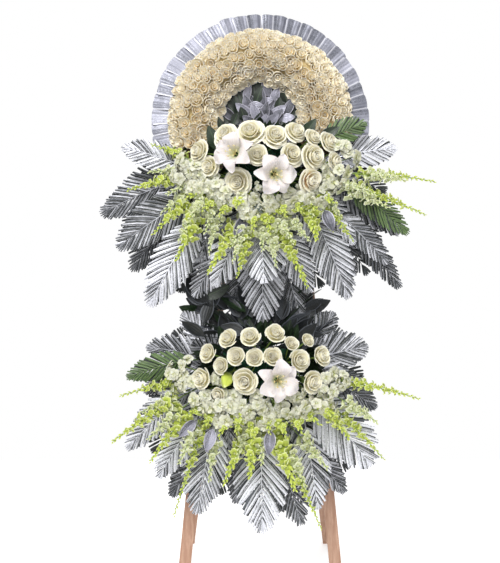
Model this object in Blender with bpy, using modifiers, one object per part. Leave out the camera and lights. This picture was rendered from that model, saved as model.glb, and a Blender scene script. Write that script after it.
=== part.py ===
"""Two-tier funeral flower stand.

A nailed timber easel carries a round board with an arch of cream roses inside a silver leaf rim, and two blocks of
wet foam with palm fronds, snapdragon spikes, roses, lilies and small white flowers. Metres, +Z up. The origin is on
the floor under the middle of the stand; -Y is the front.
"""

import math
from dataclasses import dataclass

import bmesh
import bpy
from mathutils import Matrix, Vector

CM = 0.01
GAP = 0.0003  # clearance between pieces that touch

# Timber easel
LEG_WIDTH = 0.040
LEG_DEPTH = 0.020
FRONT_FOOT_X = 0.264
FRONT_FOOT_Y = -0.150
FRONT_SPLAY = 0.098  # how far a front leg comes in for each metre up
LEAN = 0.105  # how far the front frame leans back for each metre up
STAND_SHIFT = Vector((-0.010, -0.0113, 0.0))  # puts the origin under the middle of the whole outline
FRONT_LEG_HEIGHT = 1.80
REAR_FOOT_X = 0.270
REAR_FOOT_Y = 0.440
REAR_LEG_HEIGHT = 1.600
REAR_CROSSING_HEIGHT = 1.560  # where a rear leg lies against the inside of its front leg
RAIL_HEIGHT = 0.040
RAIL_DEPTH = 0.020
RAIL_OVERHANG = 0.030
TOP_RAIL_Z = 1.730
REAR_RAIL_Z = 0.550
STRETCHER_Z = 0.420
STRETCHER_HEIGHT = 0.035
STRETCHER_DEPTH = 0.015
TIER_RAIL_OFFSETS = (-0.060, 0.060)

# Wreath
WREATH_Z = 1.595
BOARD_RADIUS = 0.335
BOARD_DEPTH = 0.009
BOARD_SIDES = 32
RIM_INNER = 0.2945
RIM_OUTER = 0.367
RIM_LEAVES = 42
RIM_STEP = 0.011  # how far each rim leaf stands out over its neighbour
RIM_THICKNESS = 0.0016
RING_RADIUS = 0.218
RING_HALF_WIDTH = 0.066
RING_HEIGHT = 0.050
ARCH_START = math.radians(-20)
ARCH_SPAN = math.radians(220)
ARCS = 5
STEPS_PER_ARC = 3
SECTION_POINTS = 5
ROSE_BED = 0.009  # depth of the packed stems and sepals that the arch's roses stand in
ROSE_ROWS = (6, 5, 4, 4, 3)  # roses of one arc in each row, from the outer row to the inner one
ROSE_ROW_FIRST = math.radians(28)
ROSE_RIM_ABOVE_BED = 0.020

# Flower foam
FOAM = Vector((0.240, 0.120, 0.160))
TRAY_WALL = 0.005
TRAY_LIP = 0.020
UPPER_FOAM_Z = 1.420
LOWER_FOAM_Z = 0.760
PEG_RADIUS = 0.0055
PEG_DEPTH = 0.030
PEG_HEAD = 0.008
BRANCH_STEP = 0.007  # distance between the stems that leave one bundle
PEG_SIDES = 4

BLADE_THICKNESS = 0.0016
LEAF_THICKNESS = 0.0014
FROND_STEM_WIDTH = 0.006
LEAF_STALK_WIDTH = 0.0045
STEM_RADIUS = 0.0024
GOLDEN_ANGLE = math.radians(137.5)


@dataclass(frozen=True)
class Finish:
    """A material's colour, roughness and metallic value."""

    name: str
    colour: tuple
    roughness: float
    metallic: float = 0.0


WOOD = Finish("planed_pine", (0.60, 0.42, 0.32), 0.6)
BOARD = Finish("pressed_board", (0.42, 0.32, 0.22), 0.8)
FOAM_GREEN = Finish("flower_foam", (0.06, 0.22, 0.10), 0.95)
TRAY_BLACK = Finish("black_tray", (0.02, 0.02, 0.02), 0.5)
SILVER_LEAF = Finish("silver_paint_on_leaf", (0.50, 0.51, 0.55), 0.45, 0.35)
CREAM_PETAL = Finish("cream_petal", (0.86, 0.74, 0.50), 0.7)
WHITE_PETAL = Finish("white_petal", (0.90, 0.88, 0.70), 0.7)
LILY_PETAL = Finish("lily_petal", (0.92, 0.86, 0.86), 0.6)
SMALL_WHITE = Finish("small_white_petal", (0.84, 0.90, 0.80), 0.7)
LIME_BUD = Finish("lime_bud", (0.55, 0.72, 0.15), 0.6)
GREEN_LEAF = Finish("green_leaf", (0.06, 0.14, 0.05), 0.5)


@dataclass(frozen=True)
class Hub:
    """Where a bundle of stems goes into the foam: a face of the block, and the place on it in cm.

    `across` runs along Z on the side faces and along X on the others; `along` is Z on the front face, and on the others
    the depth from the seat plane.
    """

    face: str
    across: float
    along: float

    def mouth(self):
        """The point where the bundle meets the foam's face."""
        half_x, half_z = FOAM.x / 2, FOAM.z / 2
        front = -(TRAY_WALL + 2 * GAP + FOAM.y)
        if self.face == "front":
            return Vector((self.across * CM, front, self.along * CM))
        if self.face in ("bottom", "top"):
            return Vector((self.across * CM, self.along * CM, half_z if self.face == "top" else -half_z))
        side = -half_x if self.face == "left" else half_x
        return Vector((side, self.along * CM, self.across * CM))

    def outward(self):
        """The face's outward direction."""
        return {
            "front": Vector((0, -1, 0)),
            "bottom": Vector((0, 0, -1)),
            "top": Vector((0, 0, 1)),
            "left": Vector((-1, 0, 0)),
            "right": Vector((1, 0, 0)),
        }[self.face]

    def starts(self, goals):
        """Where the stems to some goals leave the bundle: the most sideways stem next to the foam, and so on out."""
        outward = self.outward()
        steepness = [(goal - self.mouth()).normalized().dot(outward) for goal in goals]
        order = sorted(range(len(goals)), key=lambda number: steepness[number])
        points = [None] * len(goals)
        for step, number in enumerate(order):
            middle = self.mouth() + outward * (PEG_HEAD / 2 + BRANCH_STEP * step)
            across = goals[number] - middle
            across -= outward * across.dot(outward)
            points[number] = middle + across.normalized() * PEG_RADIUS * 0.3
        return points


@dataclass(frozen=True)
class Frond:
    """A palm frond: its tip in cm from the foam's middle (x, depth, z), and the length and width of its blade."""

    tip: tuple
    length: float
    width: float
    leaflets: int = 5


@dataclass(frozen=True)
class Spike:
    """A snapdragon spike: its tip in cm from the foam's middle (x, depth, z), its flowered length and its girth."""

    tip: tuple
    length: float
    girth: float


@dataclass(frozen=True)
class Bloom:
    """A flower head: its middle in cm from the foam's middle (x, z), its radius in cm, and how far forward it is."""

    place: tuple
    radius: float
    forward: float = 0.0


@dataclass(frozen=True)
class Leaf:
    """A broad leaf: root and tip in cm from the foam's middle (x, depth, z), and its width."""

    root: tuple
    tip: tuple
    width: float


UPPER_FRONDS = {
    "back_left": (Hub("left", 1.0, -4.5), (
        Frond((-52.5, -10.0, -14.5), 30, 11, 6),
        Frond((-41.0, -6.0, -32.0), 26, 12),
    )),
    "back_bottom": (Hub("bottom", 0.0, -4.5), (
        Frond((-22.0, -9.0, -42.0), 27, 13),
        Frond((-9.5, -5.5, -47.0), 25, 10),
        Frond((1.0, -9.5, -50.5), 29, 16),
        Frond((13.5, -6.0, -48.5), 27, 13),
    )),
    "back_right": (Hub("right", 1.0, -4.5), (
        Frond((45.0, -8.0, 7.5), 20, 11, 4),
        Frond((46.0, -9.5, -21.0), 25, 10),
        Frond((46.5, -6.5, -39.0), 28, 9),
        Frond((31.0, -9.0, -35.0), 24, 11, 4),
    )),
    "front_left": (Hub("left", -4.5, -7.5), (
        Frond((-44.5, -16.5, 6.5), 21, 10, 4),
        Frond((-46.5, -15.5, -26.0), 26, 12),
        Frond((-36.0, -16.5, -45.0), 30, 14, 6),
    )),
    "front_bottom": (Hub("bottom", 0.0, -7.5), (
        Frond((-15.0, -14.5, -38.5), 23, 13, 4),
        Frond((1.0, -19.5, -37.5), 22, 17, 6),
        Frond((16.5, -14.0, -40.5), 23, 11, 4),
    )),
    "front_right": (Hub("right", -4.5, -7.5), (
        Frond((28.5, -17.0, -42.5), 27, 13),
        Frond((41.5, -14.0, -31.0), 23, 8, 4),
    )),
}
LOWER_FRONDS = {
    "back_left": (Hub("left", 2.0, -4.5), (
        Frond((-25.5, -6.0, 19.5), 18, 10, 4),
        Frond((-37.0, -9.5, 8.5), 21, 11, 4),
        Frond((-38.5, -6.0, -6.5), 22, 10, 4),
        Frond((-44.0, -9.5, -25.0), 27, 12),
    )),
    "back_bottom": (Hub("bottom", 0.0, -4.5), (
        Frond((-30.0, -6.0, -41.0), 26, 12),
        Frond((-8.5, -6.0, -43.5), 24, 11, 4),
        Frond((13.5, -9.0, -50.0), 28, 14),
        Frond((28.0, -6.0, -40.0), 24, 11, 4),
    )),
    "back_right": (Hub("right", 2.0, -4.5), (
        Frond((24.5, -6.0, 19.5), 18, 10, 4),
        Frond((35.0, -9.5, 8.5), 22, 14),
        Frond((38.5, -6.0, -12.0), 23, 12, 4),
    )),
    "front_left": (Hub("left", -4.5, -7.5), (
        Frond((-33.0, -15.5, -33.5), 24, 12, 4),
        Frond((-20.5, -16.5, -45.0), 27, 15),
    )),
    "front_bottom": (Hub("bottom", 0.0, -7.5), (
        Frond((0.5, -18.5, -50.5), 30, 18, 6),
    )),
    "front_right": (Hub("right", -4.5, -7.5), (
        Frond((35.5, -17.5, -29.5), 27, 19, 6),
        Frond((18.5, -14.0, -44.0), 25, 13),
    )),
}
UPPER_GREEN_FRONDS = (Hub("right", 5.0, -7.5), (
    Frond((47.5, -18.0, -21.5), 25, 9),
    Frond((34.5, -13.0, 15.0), 16, 9, 4),
))
LOWER_GREEN_FRONDS = (Hub("left", 5.0, -7.5), (
    Frond((-43.0, -15.5, -1.0), 21, 9, 4),
))

UPPER_SPIKES = {
    "left": (Hub("left", -1.5, -10.5), (
        Spike((-35.0, -17.0, 7.5), 13, 1.9),
        Spike((-42.0, -21.0, -7.5), 21, 2.3),
        Spike((-34.0, -24.5, -22.0), 17, 2.3),
        Spike((-26.5, -25.0, -30.0), 17, 2.5),
    )),
    "bottom": (Hub("bottom", 0.0, -10.5), (
        Spike((-16.5, -25.5, -34.0), 20, 2.5),
        Spike((-7.5, -26.0, -35.5), 17, 2.2),
        Spike((14.5, -26.0, -38.5), 24, 2.6),
    )),
    "right": (Hub("right", -1.5, -10.5), (
        Spike((17.5, -26.5, -23.5), 15, 2.6),
        Spike((29.0, -25.0, -24.0), 17, 1.8),
        Spike((52.0, -25.0, -16.0), 25, 1.9),
        Spike((54.5, -26.0, -5.5), 26, 1.9),
    )),
}
LOWER_SPIKES = {
    "left": (Hub("left", -1.5, -10.5), (
        Spike((-44.5, -19.0, -6.5), 19, 2.0),
        Spike((-46.5, -24.0, -20.5), 25, 2.4),
        Spike((-34.5, -24.5, -26.5), 19, 2.4),
        Spike((-27.0, -25.0, -43.0), 30, 1.9),
    )),
    "bottom": (Hub("bottom", 0.0, -10.5), (
        Spike((-11.5, -24.5, -33.5), 20, 2.4),
        Spike((-3.5, -27.0, -31.0), 17, 2.6),
        Spike((10.5, -26.0, -35.0), 21, 2.8),
        Spike((19.0, -22.0, -48.0), 26, 1.8),
    )),
    "right": (Hub("right", -1.5, -10.5), (
        Spike((27.5, -26.0, -19.5), 14, 2.4),
        Spike((38.5, -24.0, -26.0), 20, 1.8),
        Spike((49.5, -25.0, -7.0), 27, 2.0),
    )),
}

UPPER_ROSES = {
    "left": (Hub("front", -7.5, 3.5), (
        Bloom((-11.5, 9.5), 3.5), Bloom((-20.0, 4.5), 3.1), Bloom((-16.5, -0.5), 3.0), Bloom((-7.4, -5.6), 3.8),
    )),
    "middle": (Hub("front", 1.5, 5.5), (
        Bloom((-3.4, 10.5), 4.0), Bloom((4.6, 9.2), 3.5), Bloom((11.2, 10.6), 3.1), Bloom((-1.0, 3.0), 3.0),
    )),
    "right": (Hub("front", 7.5, 1.5), (
        Bloom((10.0, 3.2), 3.4), Bloom((17.0, 2.6), 3.7), Bloom((16.2, -5.0), 3.6), Bloom((22.0, 7.8), 2.9),
        Bloom((16.8, 9.0), 2.4), Bloom((24.0, 1.4), 2.6),
    )),
}
LOWER_ROSES = {
    "left": (Hub("front", -7.5, 3.5), (
        Bloom((-16.8, 7.4), 3.0), Bloom((-10.4, 12.0), 3.1), Bloom((-12.6, 3.4), 2.7), Bloom((-18.8, -0.6), 3.5),
        Bloom((-13.4, -5.6), 2.4),
    )),
    "middle": (Hub("front", 0.0, 5.5), (
        Bloom((-3.4, 12.6), 3.2), Bloom((-7.8, 6.4), 2.9), Bloom((-2.0, 6.0), 2.8), Bloom((3.6, 6.4), 3.0),
        Bloom((-5.0, -1.4), 4.1), Bloom((4.6, 13.6), 3.2),
    )),
    "right": (Hub("front", 7.5, 3.5), (
        Bloom((9.6, 10.4), 2.3), Bloom((12.2, 5.0), 3.5), Bloom((14.8, 11.4), 2.2), Bloom((19.2, 6.4), 3.3),
        Bloom((16.2, -1.8), 3.6),
    )),
}
UPPER_LILIES = (Hub("front", -1.5, 1.5), (
    Bloom((-8.6, 3.2), 6.6, 2.6),
    Bloom((4.4, -3.6), 6.8, 2.6),
))
LOWER_LILIES = (Hub("front", 1.5, -0.5), (
    Bloom((5.4, -1.0), 6.8, 2.8),
))
UPPER_SMALL_WHITES = {
    "left": (Hub("front", -8.6, -3.6), (
        Bloom((-25.4, 2.2), 2.4), Bloom((-22.4, -1.8), 2.6), Bloom((-21.4, -6.8), 2.5), Bloom((-16.4, -7.0), 2.6),
        Bloom((-12.6, -10.6), 2.8), Bloom((-5.6, -12.4), 2.7), Bloom((-27.4, -3.0), 2.3),
    )),
    "right": (Hub("front", 8.6, -3.6), (
        Bloom((26.8, 6.4), 2.6), Bloom((30.6, 3.4), 2.5), Bloom((27.4, -2.4), 2.7, 1.5), Bloom((22.6, -5.2), 2.6),
        Bloom((20.8, -10.2), 2.5), Bloom((10.0, -11.8), 2.8), Bloom((15.2, -10.6), 2.6), Bloom((3.4, -13.2), 2.7),
    )),
}
LOWER_SMALL_WHITES = {
    "left": (Hub("front", -7.5, -4.5), (
        Bloom((-24.6, 3.0), 2.5), Bloom((-24.4, -2.6), 2.7), Bloom((-20.8, -7.4), 2.7), Bloom((-15.4, -9.6), 2.7),
        Bloom((-9.6, -9.0), 2.8), Bloom((-3.6, -10.6), 2.8), Bloom((-28.8, 0.6), 2.3), Bloom((-12.2, -14.0), 2.4),
    )),
    "right": (Hub("front", 7.5, -4.5), (
        Bloom((22.4, 0.8), 2.6), Bloom((22.4, -4.8), 2.7), Bloom((19.2, -9.6), 2.7), Bloom((13.8, -9.4), 2.7),
        Bloom((8.6, -11.6), 2.8), Bloom((2.4, -13.2), 2.7), Bloom((27.0, -1.6), 2.3),
    )),
}
UPPER_SILVER_LEAVES = {
    "front": (Hub("front", 4.5, -6.2), (
        Leaf((20.0, -25.5, -14.4), (22.5, -27.0, -21.0), 3.8),
        Leaf((-4.4, -22.0, -16.0), (-8.5, -23.5, -22.0), 3.6),
    )),
}
LOWER_SILVER_LEAVES = {
    "front": (Hub("front", -4.5, -6.8), (
        Leaf((-15.0, -23.5, -16.5), (-17.0, -25.0, -23.5), 3.8),
        Leaf((-20.5, -22.0, -14.0), (-25.5, -23.0, -19.0), 3.5),
        Leaf((3.0, -22.5, -17.0), (2.5, -24.5, -24.5), 3.8),
    )),
    "top": (Hub("top", 0.0, -2.6), (
        Leaf((-12.5, -1.6, 13.0), (-19.0, -2.0, 20.5), 5.4),
        Leaf((-5.5, -1.6, 15.5), (-8.5, -2.0, 25.5), 5.4),
        Leaf((1.0, -1.6, 16.5), (1.5, -2.0, 27.0), 5.4),
        Leaf((7.0, -1.6, 15.0), (11.0, -2.0, 24.5), 5.4),
        Leaf((13.5, -1.6, 12.0), (20.5, -2.0, 18.5), 5.4),
    )),
}
UPPER_GREEN_LEAVES = (Hub("front", -1.5, -5.5), (
    Leaf((-14.0, -19.0, 5.5), (-16.5, -20.0, 12.0), 3.2),
    Leaf((12.6, -19.0, 6.8), (17.5, -20.5, 12.8), 3.2),
    Leaf((-2.5, -23.0, -9.5), (0.5, -26.5, -15.5), 3.0),
))
LOWER_GREEN_LEAVES = (Hub("front", -3.0, 2.5), (
    Leaf((-10.4, -21.0, 0.8), (-11.2, -28.5, -3.0), 3.4),
))
WREATH_LEAVES = (
    Leaf((-3.0, -1.2, 4.0), (-9.6, -1.8, 6.4), 3.6),
    Leaf((-2.8, -2.0, 6.5), (-8.2, -2.8, 11.4), 3.6),
    Leaf((-1.6, -1.2, 8.5), (-4.6, -1.8, 15.2), 3.8),
    Leaf((0.4, -2.0, 9.0), (0.6, -2.8, 16.6), 3.8),
    Leaf((2.2, -1.2, 8.2), (5.6, -1.8, 14.6), 3.8),
    Leaf((3.0, -2.0, 6.0), (8.8, -2.8, 10.6), 3.6),
    Leaf((3.0, -1.2, 3.8), (9.8, -1.8, 5.4), 3.6),
    Leaf((-1.8, -3.0, 3.6), (-6.0, -4.0, 6.6), 3.4),
    Leaf((-1.0, -3.8, 5.2), (-2.6, -4.8, 11.0), 3.4),
    Leaf((0.8, -3.0, 5.4), (2.6, -4.0, 11.4), 3.4),
    Leaf((2.0, -3.8, 3.8), (6.2, -4.8, 7.2), 3.4),
)
WREATH_LEAF_ROOT = Vector((0.0, 0.0, -0.052))  # from the middle of the wreath


def clear_scene():
    """Removes every object that Blender starts with."""
    for obj in list(bpy.data.objects):
        bpy.data.objects.remove(obj)


def new_collection(name):
    """Makes a collection in the scene."""
    collection = bpy.data.collections.new(name)
    bpy.context.scene.collection.children.link(collection)
    return collection


def material_of(finish):
    """The finish as a material, made once."""
    material = bpy.data.materials.get(finish.name)
    if material is None:
        material = bpy.data.materials.new(finish.name)
        material.use_nodes = True
        shader = material.node_tree.nodes["Principled BSDF"]
        shader.inputs["Base Color"].default_value = (*finish.colour, 1.0)
        shader.inputs["Roughness"].default_value = finish.roughness
        shader.inputs["Metallic"].default_value = finish.metallic
    return material


def object_from(name, bm, collection):
    """Turns a bmesh into an object in a collection."""
    mesh = bpy.data.meshes.new(name)
    bm.to_mesh(mesh)
    bm.free()
    obj = bpy.data.objects.new(name, mesh)
    collection.objects.link(obj)
    return obj


def face_outward(bm):
    """Turns every face of a closed shape, or the faces of a sheet alike."""
    bm.normal_update()
    bmesh.ops.recalc_face_normals(bm, faces=bm.faces[:])


def evaluated_bmesh(obj):
    """The object's mesh with its modifiers applied; the object is removed."""
    bpy.context.view_layer.update()
    graph = bpy.context.evaluated_depsgraph_get()
    bm = bmesh.new()
    bm.from_object(obj, graph)
    bpy.data.objects.remove(obj)
    return bm


def fused(name, pieces):
    """Joins overlapping closed shapes into one body with one Boolean union."""
    scraps = new_collection("scraps")
    body = object_from(name, pieces[0], scraps)
    if len(pieces) > 1:
        others = new_collection("others")
        for number, piece in enumerate(pieces[1:]):
            object_from(f"piece_{number}", piece, others)
        union = body.modifiers.new("Join", "BOOLEAN")
        union.operation = "UNION"
        union.operand_type = "COLLECTION"
        union.collection = others
        union.solver = "MANIFOLD"
        result = evaluated_bmesh(body)
        for obj in list(others.objects):
            bpy.data.objects.remove(obj)
        bpy.data.collections.remove(others)
    else:
        result = evaluated_bmesh(body)
    bpy.data.collections.remove(scraps)
    return result


def sheet_solid(bm, thickness):
    """Gives an open surface its thickness. It is cut into triangles first, so that both faces are cut alike."""
    bmesh.ops.triangulate(bm, faces=bm.faces[:])
    scraps = new_collection("sheet")
    obj = object_from("sheet", bm, scraps)
    solidify = obj.modifiers.new("Thickness", "SOLIDIFY")
    solidify.thickness = thickness
    solidify.offset = 0.0
    result = evaluated_bmesh(obj)
    bpy.data.collections.remove(scraps)
    bmesh.ops.triangulate(result, faces=result.faces[:])
    return result


def place(name, bm, finish, parent, collection):
    """Adds a finished piece to the model, in its parent's own axes."""
    obj = object_from(name, bm, collection)
    obj.data.materials.append(material_of(finish))
    obj.parent = parent
    return obj


def axes_at(point, direction):
    """A matrix whose Z runs along a direction, at a point."""
    turn = direction.to_track_quat("Z", "Y").to_matrix().to_4x4()
    return Matrix.Translation(point) @ turn


def rod(start, end, first_radius, last_radius, sides=3):
    """A straight tapered rod from start to end."""
    bm = bmesh.new()
    run = end - start
    bmesh.ops.create_cone(
        bm,
        cap_ends=True,
        segments=sides,
        radius1=first_radius,
        radius2=last_radius,
        depth=run.length,
        matrix=axes_at((start + end) / 2, run),
    )
    return bm


def stack(rings, first=None, last=None, stalk=None):
    """A closed skin over rings of points, ended by a point, by a flat cap or, first, by a three-sided stalk."""
    bm = bmesh.new()
    loops = [[bm.verts.new(point) for point in ring] for ring in rings]
    count = len(loops[0])
    if stalk:
        foot, neck = ([bm.verts.new(point) for point in ring] for ring in stalk)
        bm.faces.new(foot)
        for i in range(3):
            bm.faces.new((foot[i], foot[(i + 1) % 3], neck[(i + 1) % 3], neck[i]))
        for i in range(count):
            here, following = loops[0][i], loops[0][(i + 1) % count]
            k, next_k = 3 * i // count, 3 * (i + 1) // count
            bm.faces.new((here, following, neck[k]))
            if next_k != k:
                bm.faces.new((following, neck[next_k % 3], neck[k]))
    for low, high in zip(loops, loops[1:]):
        for i in range(count):
            j = (i + 1) % count
            bm.faces.new((low[i], low[j], high[j], high[i]))
    for loop, end, flip in ((loops[0], first, True), (loops[-1], last, False)):
        if flip and stalk:
            continue
        if end is None:
            bm.faces.new(reversed(loop) if flip else loop)
            continue
        tip = bm.verts.new(end)
        for i in range(count):
            j = (i + 1) % count
            bm.faces.new((loop[j], loop[i], tip) if flip else (loop[i], loop[j], tip))
    bmesh.ops.triangulate(bm, faces=bm.faces[:])
    face_outward(bm)
    return bm


def ring_points(matrix, radius, height, sides, twist):
    """The corners of a level polygon in a flower's own axes."""
    return [
        matrix @ Vector((radius * math.cos(a), radius * math.sin(a), height))
        for a in (twist + 2 * math.pi * i / sides for i in range(sides))
    ]


def stalk_rings(start, matrix, below, spin):
    """The two ends of a three-sided stalk, from the bundle to a point under a flower head."""
    neck = ring_points(matrix, STEM_RADIUS, -below, 3, spin)
    middle = sum(neck, Vector()) / 3
    return [start + (point - middle) * 0.7 for point in neck], neck


def rose_head(matrix, radius, spin, whorls, stalk_start=None):
    """A rose head: five-petalled whorls, each turned half a petal against the last.

    `whorls` lists (radius, height, half turns) as shares of the head's radius, from the base to the heart.
    """
    rings = [
        ring_points(matrix, radius * share, radius * height, 5, spin + turn * math.pi / 5)
        for share, height, turn in whorls
    ]
    if stalk_start is None:
        return stack(rings)
    return stack(rings, stalk=stalk_rings(stalk_start, matrix, 1.25 * radius, spin))


PACKED_ROSE = ((0.62, -0.42, 0), (1.0, 0.98, 0), (0.46, 1.20, 1))
OPEN_ROSE = ((0.40, -0.90, 0), (1.0, 0.04, 0), (0.70, 0.02, 0), (0.36, 0.46, 1))


def lily_head(matrix, radius, spin):
    """A lily: six tepals that rise from a narrow throat and bend back at their tips."""
    bm = bmesh.new()
    throat, belly = 0.13 * radius, 0.58 * radius
    inner = [bm.verts.new(p) for p in ring_points(matrix, throat, -0.34 * radius, 6, spin)]
    bm.faces.new(inner)
    for i in range(6):
        j = (i + 1) % 6
        middle = spin + math.radians(60 * i + 30)
        lift = (0.10 if i % 2 else 0.0) * radius
        wide = math.radians(25)
        low, high = (
            bm.verts.new(matrix @ Vector((belly * math.cos(a), belly * math.sin(a), 0.16 * radius + lift)))
            for a in (middle - wide, middle + wide)
        )
        tip = bm.verts.new(
            matrix @ Vector((radius * math.cos(middle), radius * math.sin(middle), 0.04 * radius + lift))
        )
        bm.faces.new((inner[i], low, high, inner[j]))
        bm.faces.new((low, tip, high))
    face_outward(bm)
    return sheet_solid(bm, 0.0018)


def small_flower(matrix, radius, spin, stalk_start):
    """A small five-petalled flower with a raised eye, thin at its petals' edges, on its stalk."""
    petals = 5
    points = []
    for i in range(2 * petals):
        reach = radius * (1.0 if i % 2 == 0 else 0.58)
        lift = radius * (0.10 if i % 2 == 0 else 0.0)
        a = spin + math.pi * i / petals
        points.append(matrix @ Vector((reach * math.cos(a), reach * math.sin(a), lift)))
    stalk = stalk_rings(stalk_start, matrix, 0.45 * radius, spin)
    return stack([points], last=matrix @ Vector((0, 0, 0.20 * radius)), stalk=stalk)


def curve_point(points, t):
    """A point on the quadratic curve through a root, towards a bend, to a tip."""
    root, bend, tip = points
    return root * (1 - t) ** 2 + bend * 2 * t * (1 - t) + tip * t**2


def arched(root, tip, rise):
    """The root, bend and tip of a stem that rises as it leaves the foam and droops to its tip."""
    bend = (root + tip) / 2 + Vector((0, -0.35 * rise, rise))
    return root, bend, tip


def frond_frame(curve, t):
    """Place, tangent, side and outward direction of a frond's rib."""
    here = curve_point(curve, t)
    along = (curve_point(curve, t + 0.01) - curve_point(curve, t - 0.01)).normalized()
    side = along.cross(Vector((0, -1, 0))).normalized()
    outward = side.cross(along).normalized()
    return here, along, side, outward


def trimmed_reach(start, length, half_width, spread):
    """How far a leaflet runs from its place on the rib to the blade's trimmed outline."""
    steps = 60
    for number in range(1, steps):
        reach = length * number / steps
        share = (start + reach * math.cos(spread)) / length
        if share >= 1 or reach * math.sin(spread) > half_width * math.sin(math.pi * share**0.85) ** 0.6:
            return reach
    return length


def frond_blade(root, frond):
    """A palm frond: one thin arched blade, cut to the rib between its leaflets, on its own flat stalk."""
    tip = Vector(frond.tip) * CM
    chord = (tip - root).length
    curve = arched(root, tip, 0.10 * chord)
    length, half_width = frond.length * CM, frond.width * CM / 2
    first_rib = max(0.06, 1.0 - length / chord)
    last_rib = 1.0 - 0.20 * (1.0 - first_rib)
    bm = bmesh.new()
    stations = [0.0] + [
        first_rib + (last_rib - first_rib) * i / frond.leaflets for i in range(frond.leaflets + 1)
    ]
    sides = {-1: [], 1: []}
    for number, t in enumerate(stations):
        here, along, side, _ = frond_frame(curve, t)
        taper = 1.0 - 0.5 * number / (len(stations) - 1)
        for sign in (-1, 1):
            sides[sign].append(bm.verts.new(here + side * sign * taper * FROND_STEM_WIDTH / 2))
    for i in range(len(stations) - 1):
        bm.faces.new((sides[-1][i], sides[1][i], sides[1][i + 1], sides[-1][i + 1]))
    bm.faces.new((sides[-1][-1], sides[1][-1], bm.verts.new(tip)))
    for number in range(frond.leaflets):
        spread = math.radians(50 - 26 * number / (frond.leaflets - 1))
        for sign in (-1, 1):
            corners = [sides[sign][number + 1], sides[sign][number + 2]]
            ends = []
            for t, corner, trim in zip(stations[number + 1:], corners, (0.07, -0.07)):
                _, along, side, outward = frond_frame(curve, t)
                way = along * math.cos(spread) + side * sign * math.sin(spread) - outward * 0.13
                start = (t - first_rib) * chord
                reach = trimmed_reach(start, (1.0 - first_rib) * chord, half_width, spread)
                ends.append(bm.verts.new(corner.co + (corners[1].co - corners[0].co) * trim + way * reach))
            corners += reversed(ends)
            bm.faces.new(corners if sign > 0 else corners[::-1])
    face_outward(bm)
    return sheet_solid(bm, BLADE_THICKNESS)


def spike_body(root, spike):
    """A snapdragon spike: a bent stem whose florets stand out of a slim core in turns, smaller towards the tip."""
    tip = Vector(spike.tip) * CM
    chord = (tip - root).length
    curve = arched(root, tip, 0.07 * chord)
    start = max(0.12, 1.0 - spike.length * CM / chord)
    sides, turns = 4, 7
    rings = []
    for t in (0.0, start * 0.9):
        here, along, _, _ = frond_frame(curve, t)
        rings.append(ring_points(axes_at(here, along), STEM_RADIUS, 0, sides, 0))
    for number in range(turns):
        share = number / turns
        t = start + (0.985 - start) * share
        here, along, _, _ = frond_frame(curve, t)
        girth = spike.girth * CM * (1.0 - 0.70 * share) * (0.75 if number == 0 else 1.0)
        frame = axes_at(here, along)
        ring = []
        for i in range(sides):
            standing = (i + number) % 2 == 0
            reach = girth if standing else girth * 0.45
            a = 2 * math.pi * i / sides
            ring.append(frame @ Vector((reach * math.cos(a), reach * math.sin(a), 0)))
        rings.append(ring)
    return stack(rings, last=tip)


def leaf_blade(start, leaf):
    """A broad pointed leaf on a narrow flat stalk of its own."""
    root, tip = Vector(leaf.root) * CM, Vector(leaf.tip) * CM
    run = tip - root
    side = run.cross(Vector((0, -1, 0))).normalized()
    fold = Vector((0, 0.004, 0))
    bm = bmesh.new()
    pairs = []
    for middle, half in (
        (start, LEAF_STALK_WIDTH / 2),
        (root, LEAF_STALK_WIDTH / 2),
        (root + run * 0.30 - fold, leaf.width * CM * 0.46),
        (root + run * 0.66 - fold, leaf.width * CM * 0.42),
    ):
        pairs.append([bm.verts.new(middle + side * sign * half) for sign in (-1, 1)])
    for low, high in zip(pairs, pairs[1:]):
        bm.faces.new((*low, *reversed(high)))
    bm.faces.new((*pairs[-1], bm.verts.new(tip)))
    face_outward(bm)
    return sheet_solid(bm, LEAF_THICKNESS)


def peg(hub, stems=1):
    """The bundle of cut stems that stands in the foam and reaches out as far as its last stem."""
    mouth, outward = hub.mouth(), hub.outward()
    reach = PEG_HEAD + BRANCH_STEP * (stems - 1)
    return rod(mouth - outward * PEG_DEPTH, mouth + outward * reach, PEG_RADIUS, PEG_RADIUS * 0.7, PEG_SIDES)


def peg_hole(hub):
    """The plain hole that a bundle stands in."""
    mouth, outward = hub.mouth(), hub.outward()
    radius = PEG_RADIUS + 1.5 * GAP
    return rod(mouth - outward * (PEG_DEPTH + GAP), mouth + outward * PEG_HEAD, radius, radius, PEG_SIDES)


def bloom_axes(bloom):
    """Where a flower head sits on the dome of flowers, and which way it faces."""
    x, z = bloom.place[0] * CM, bloom.place[1] * CM
    depth = -0.275 - bloom.forward * CM + 0.9 * (x * x + z * z)
    facing = Vector((1.1 * x, -0.24, 1.1 * z)).normalized()
    return axes_at(Vector((x, depth, z)), facing)


def bunch(hub, items, goals, shape_of):
    """Shapes on their stems, fused with the bundle that they leave."""
    starts = hub.starts(goals)
    shapes = [shape_of(number, start, item) for number, (start, item) in enumerate(zip(starts, items))]
    return fused("bunch", [peg(hub, len(items)), *shapes])


def roses(hub, blooms):
    """A bunch of roses."""
    def shape_of(number, start, bloom):
        return rose_head(bloom_axes(bloom), bloom.radius * CM, number * GOLDEN_ANGLE, OPEN_ROSE, start)

    return bunch(hub, blooms, [bloom_axes(bloom).translation for bloom in blooms], shape_of)


def small_whites(hub, blooms):
    """A spray of small white flowers."""
    def shape_of(number, start, bloom):
        return small_flower(bloom_axes(bloom), bloom.radius * CM, number * GOLDEN_ANGLE, start)

    return bunch(hub, blooms, [bloom_axes(bloom).translation for bloom in blooms], shape_of)


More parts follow.
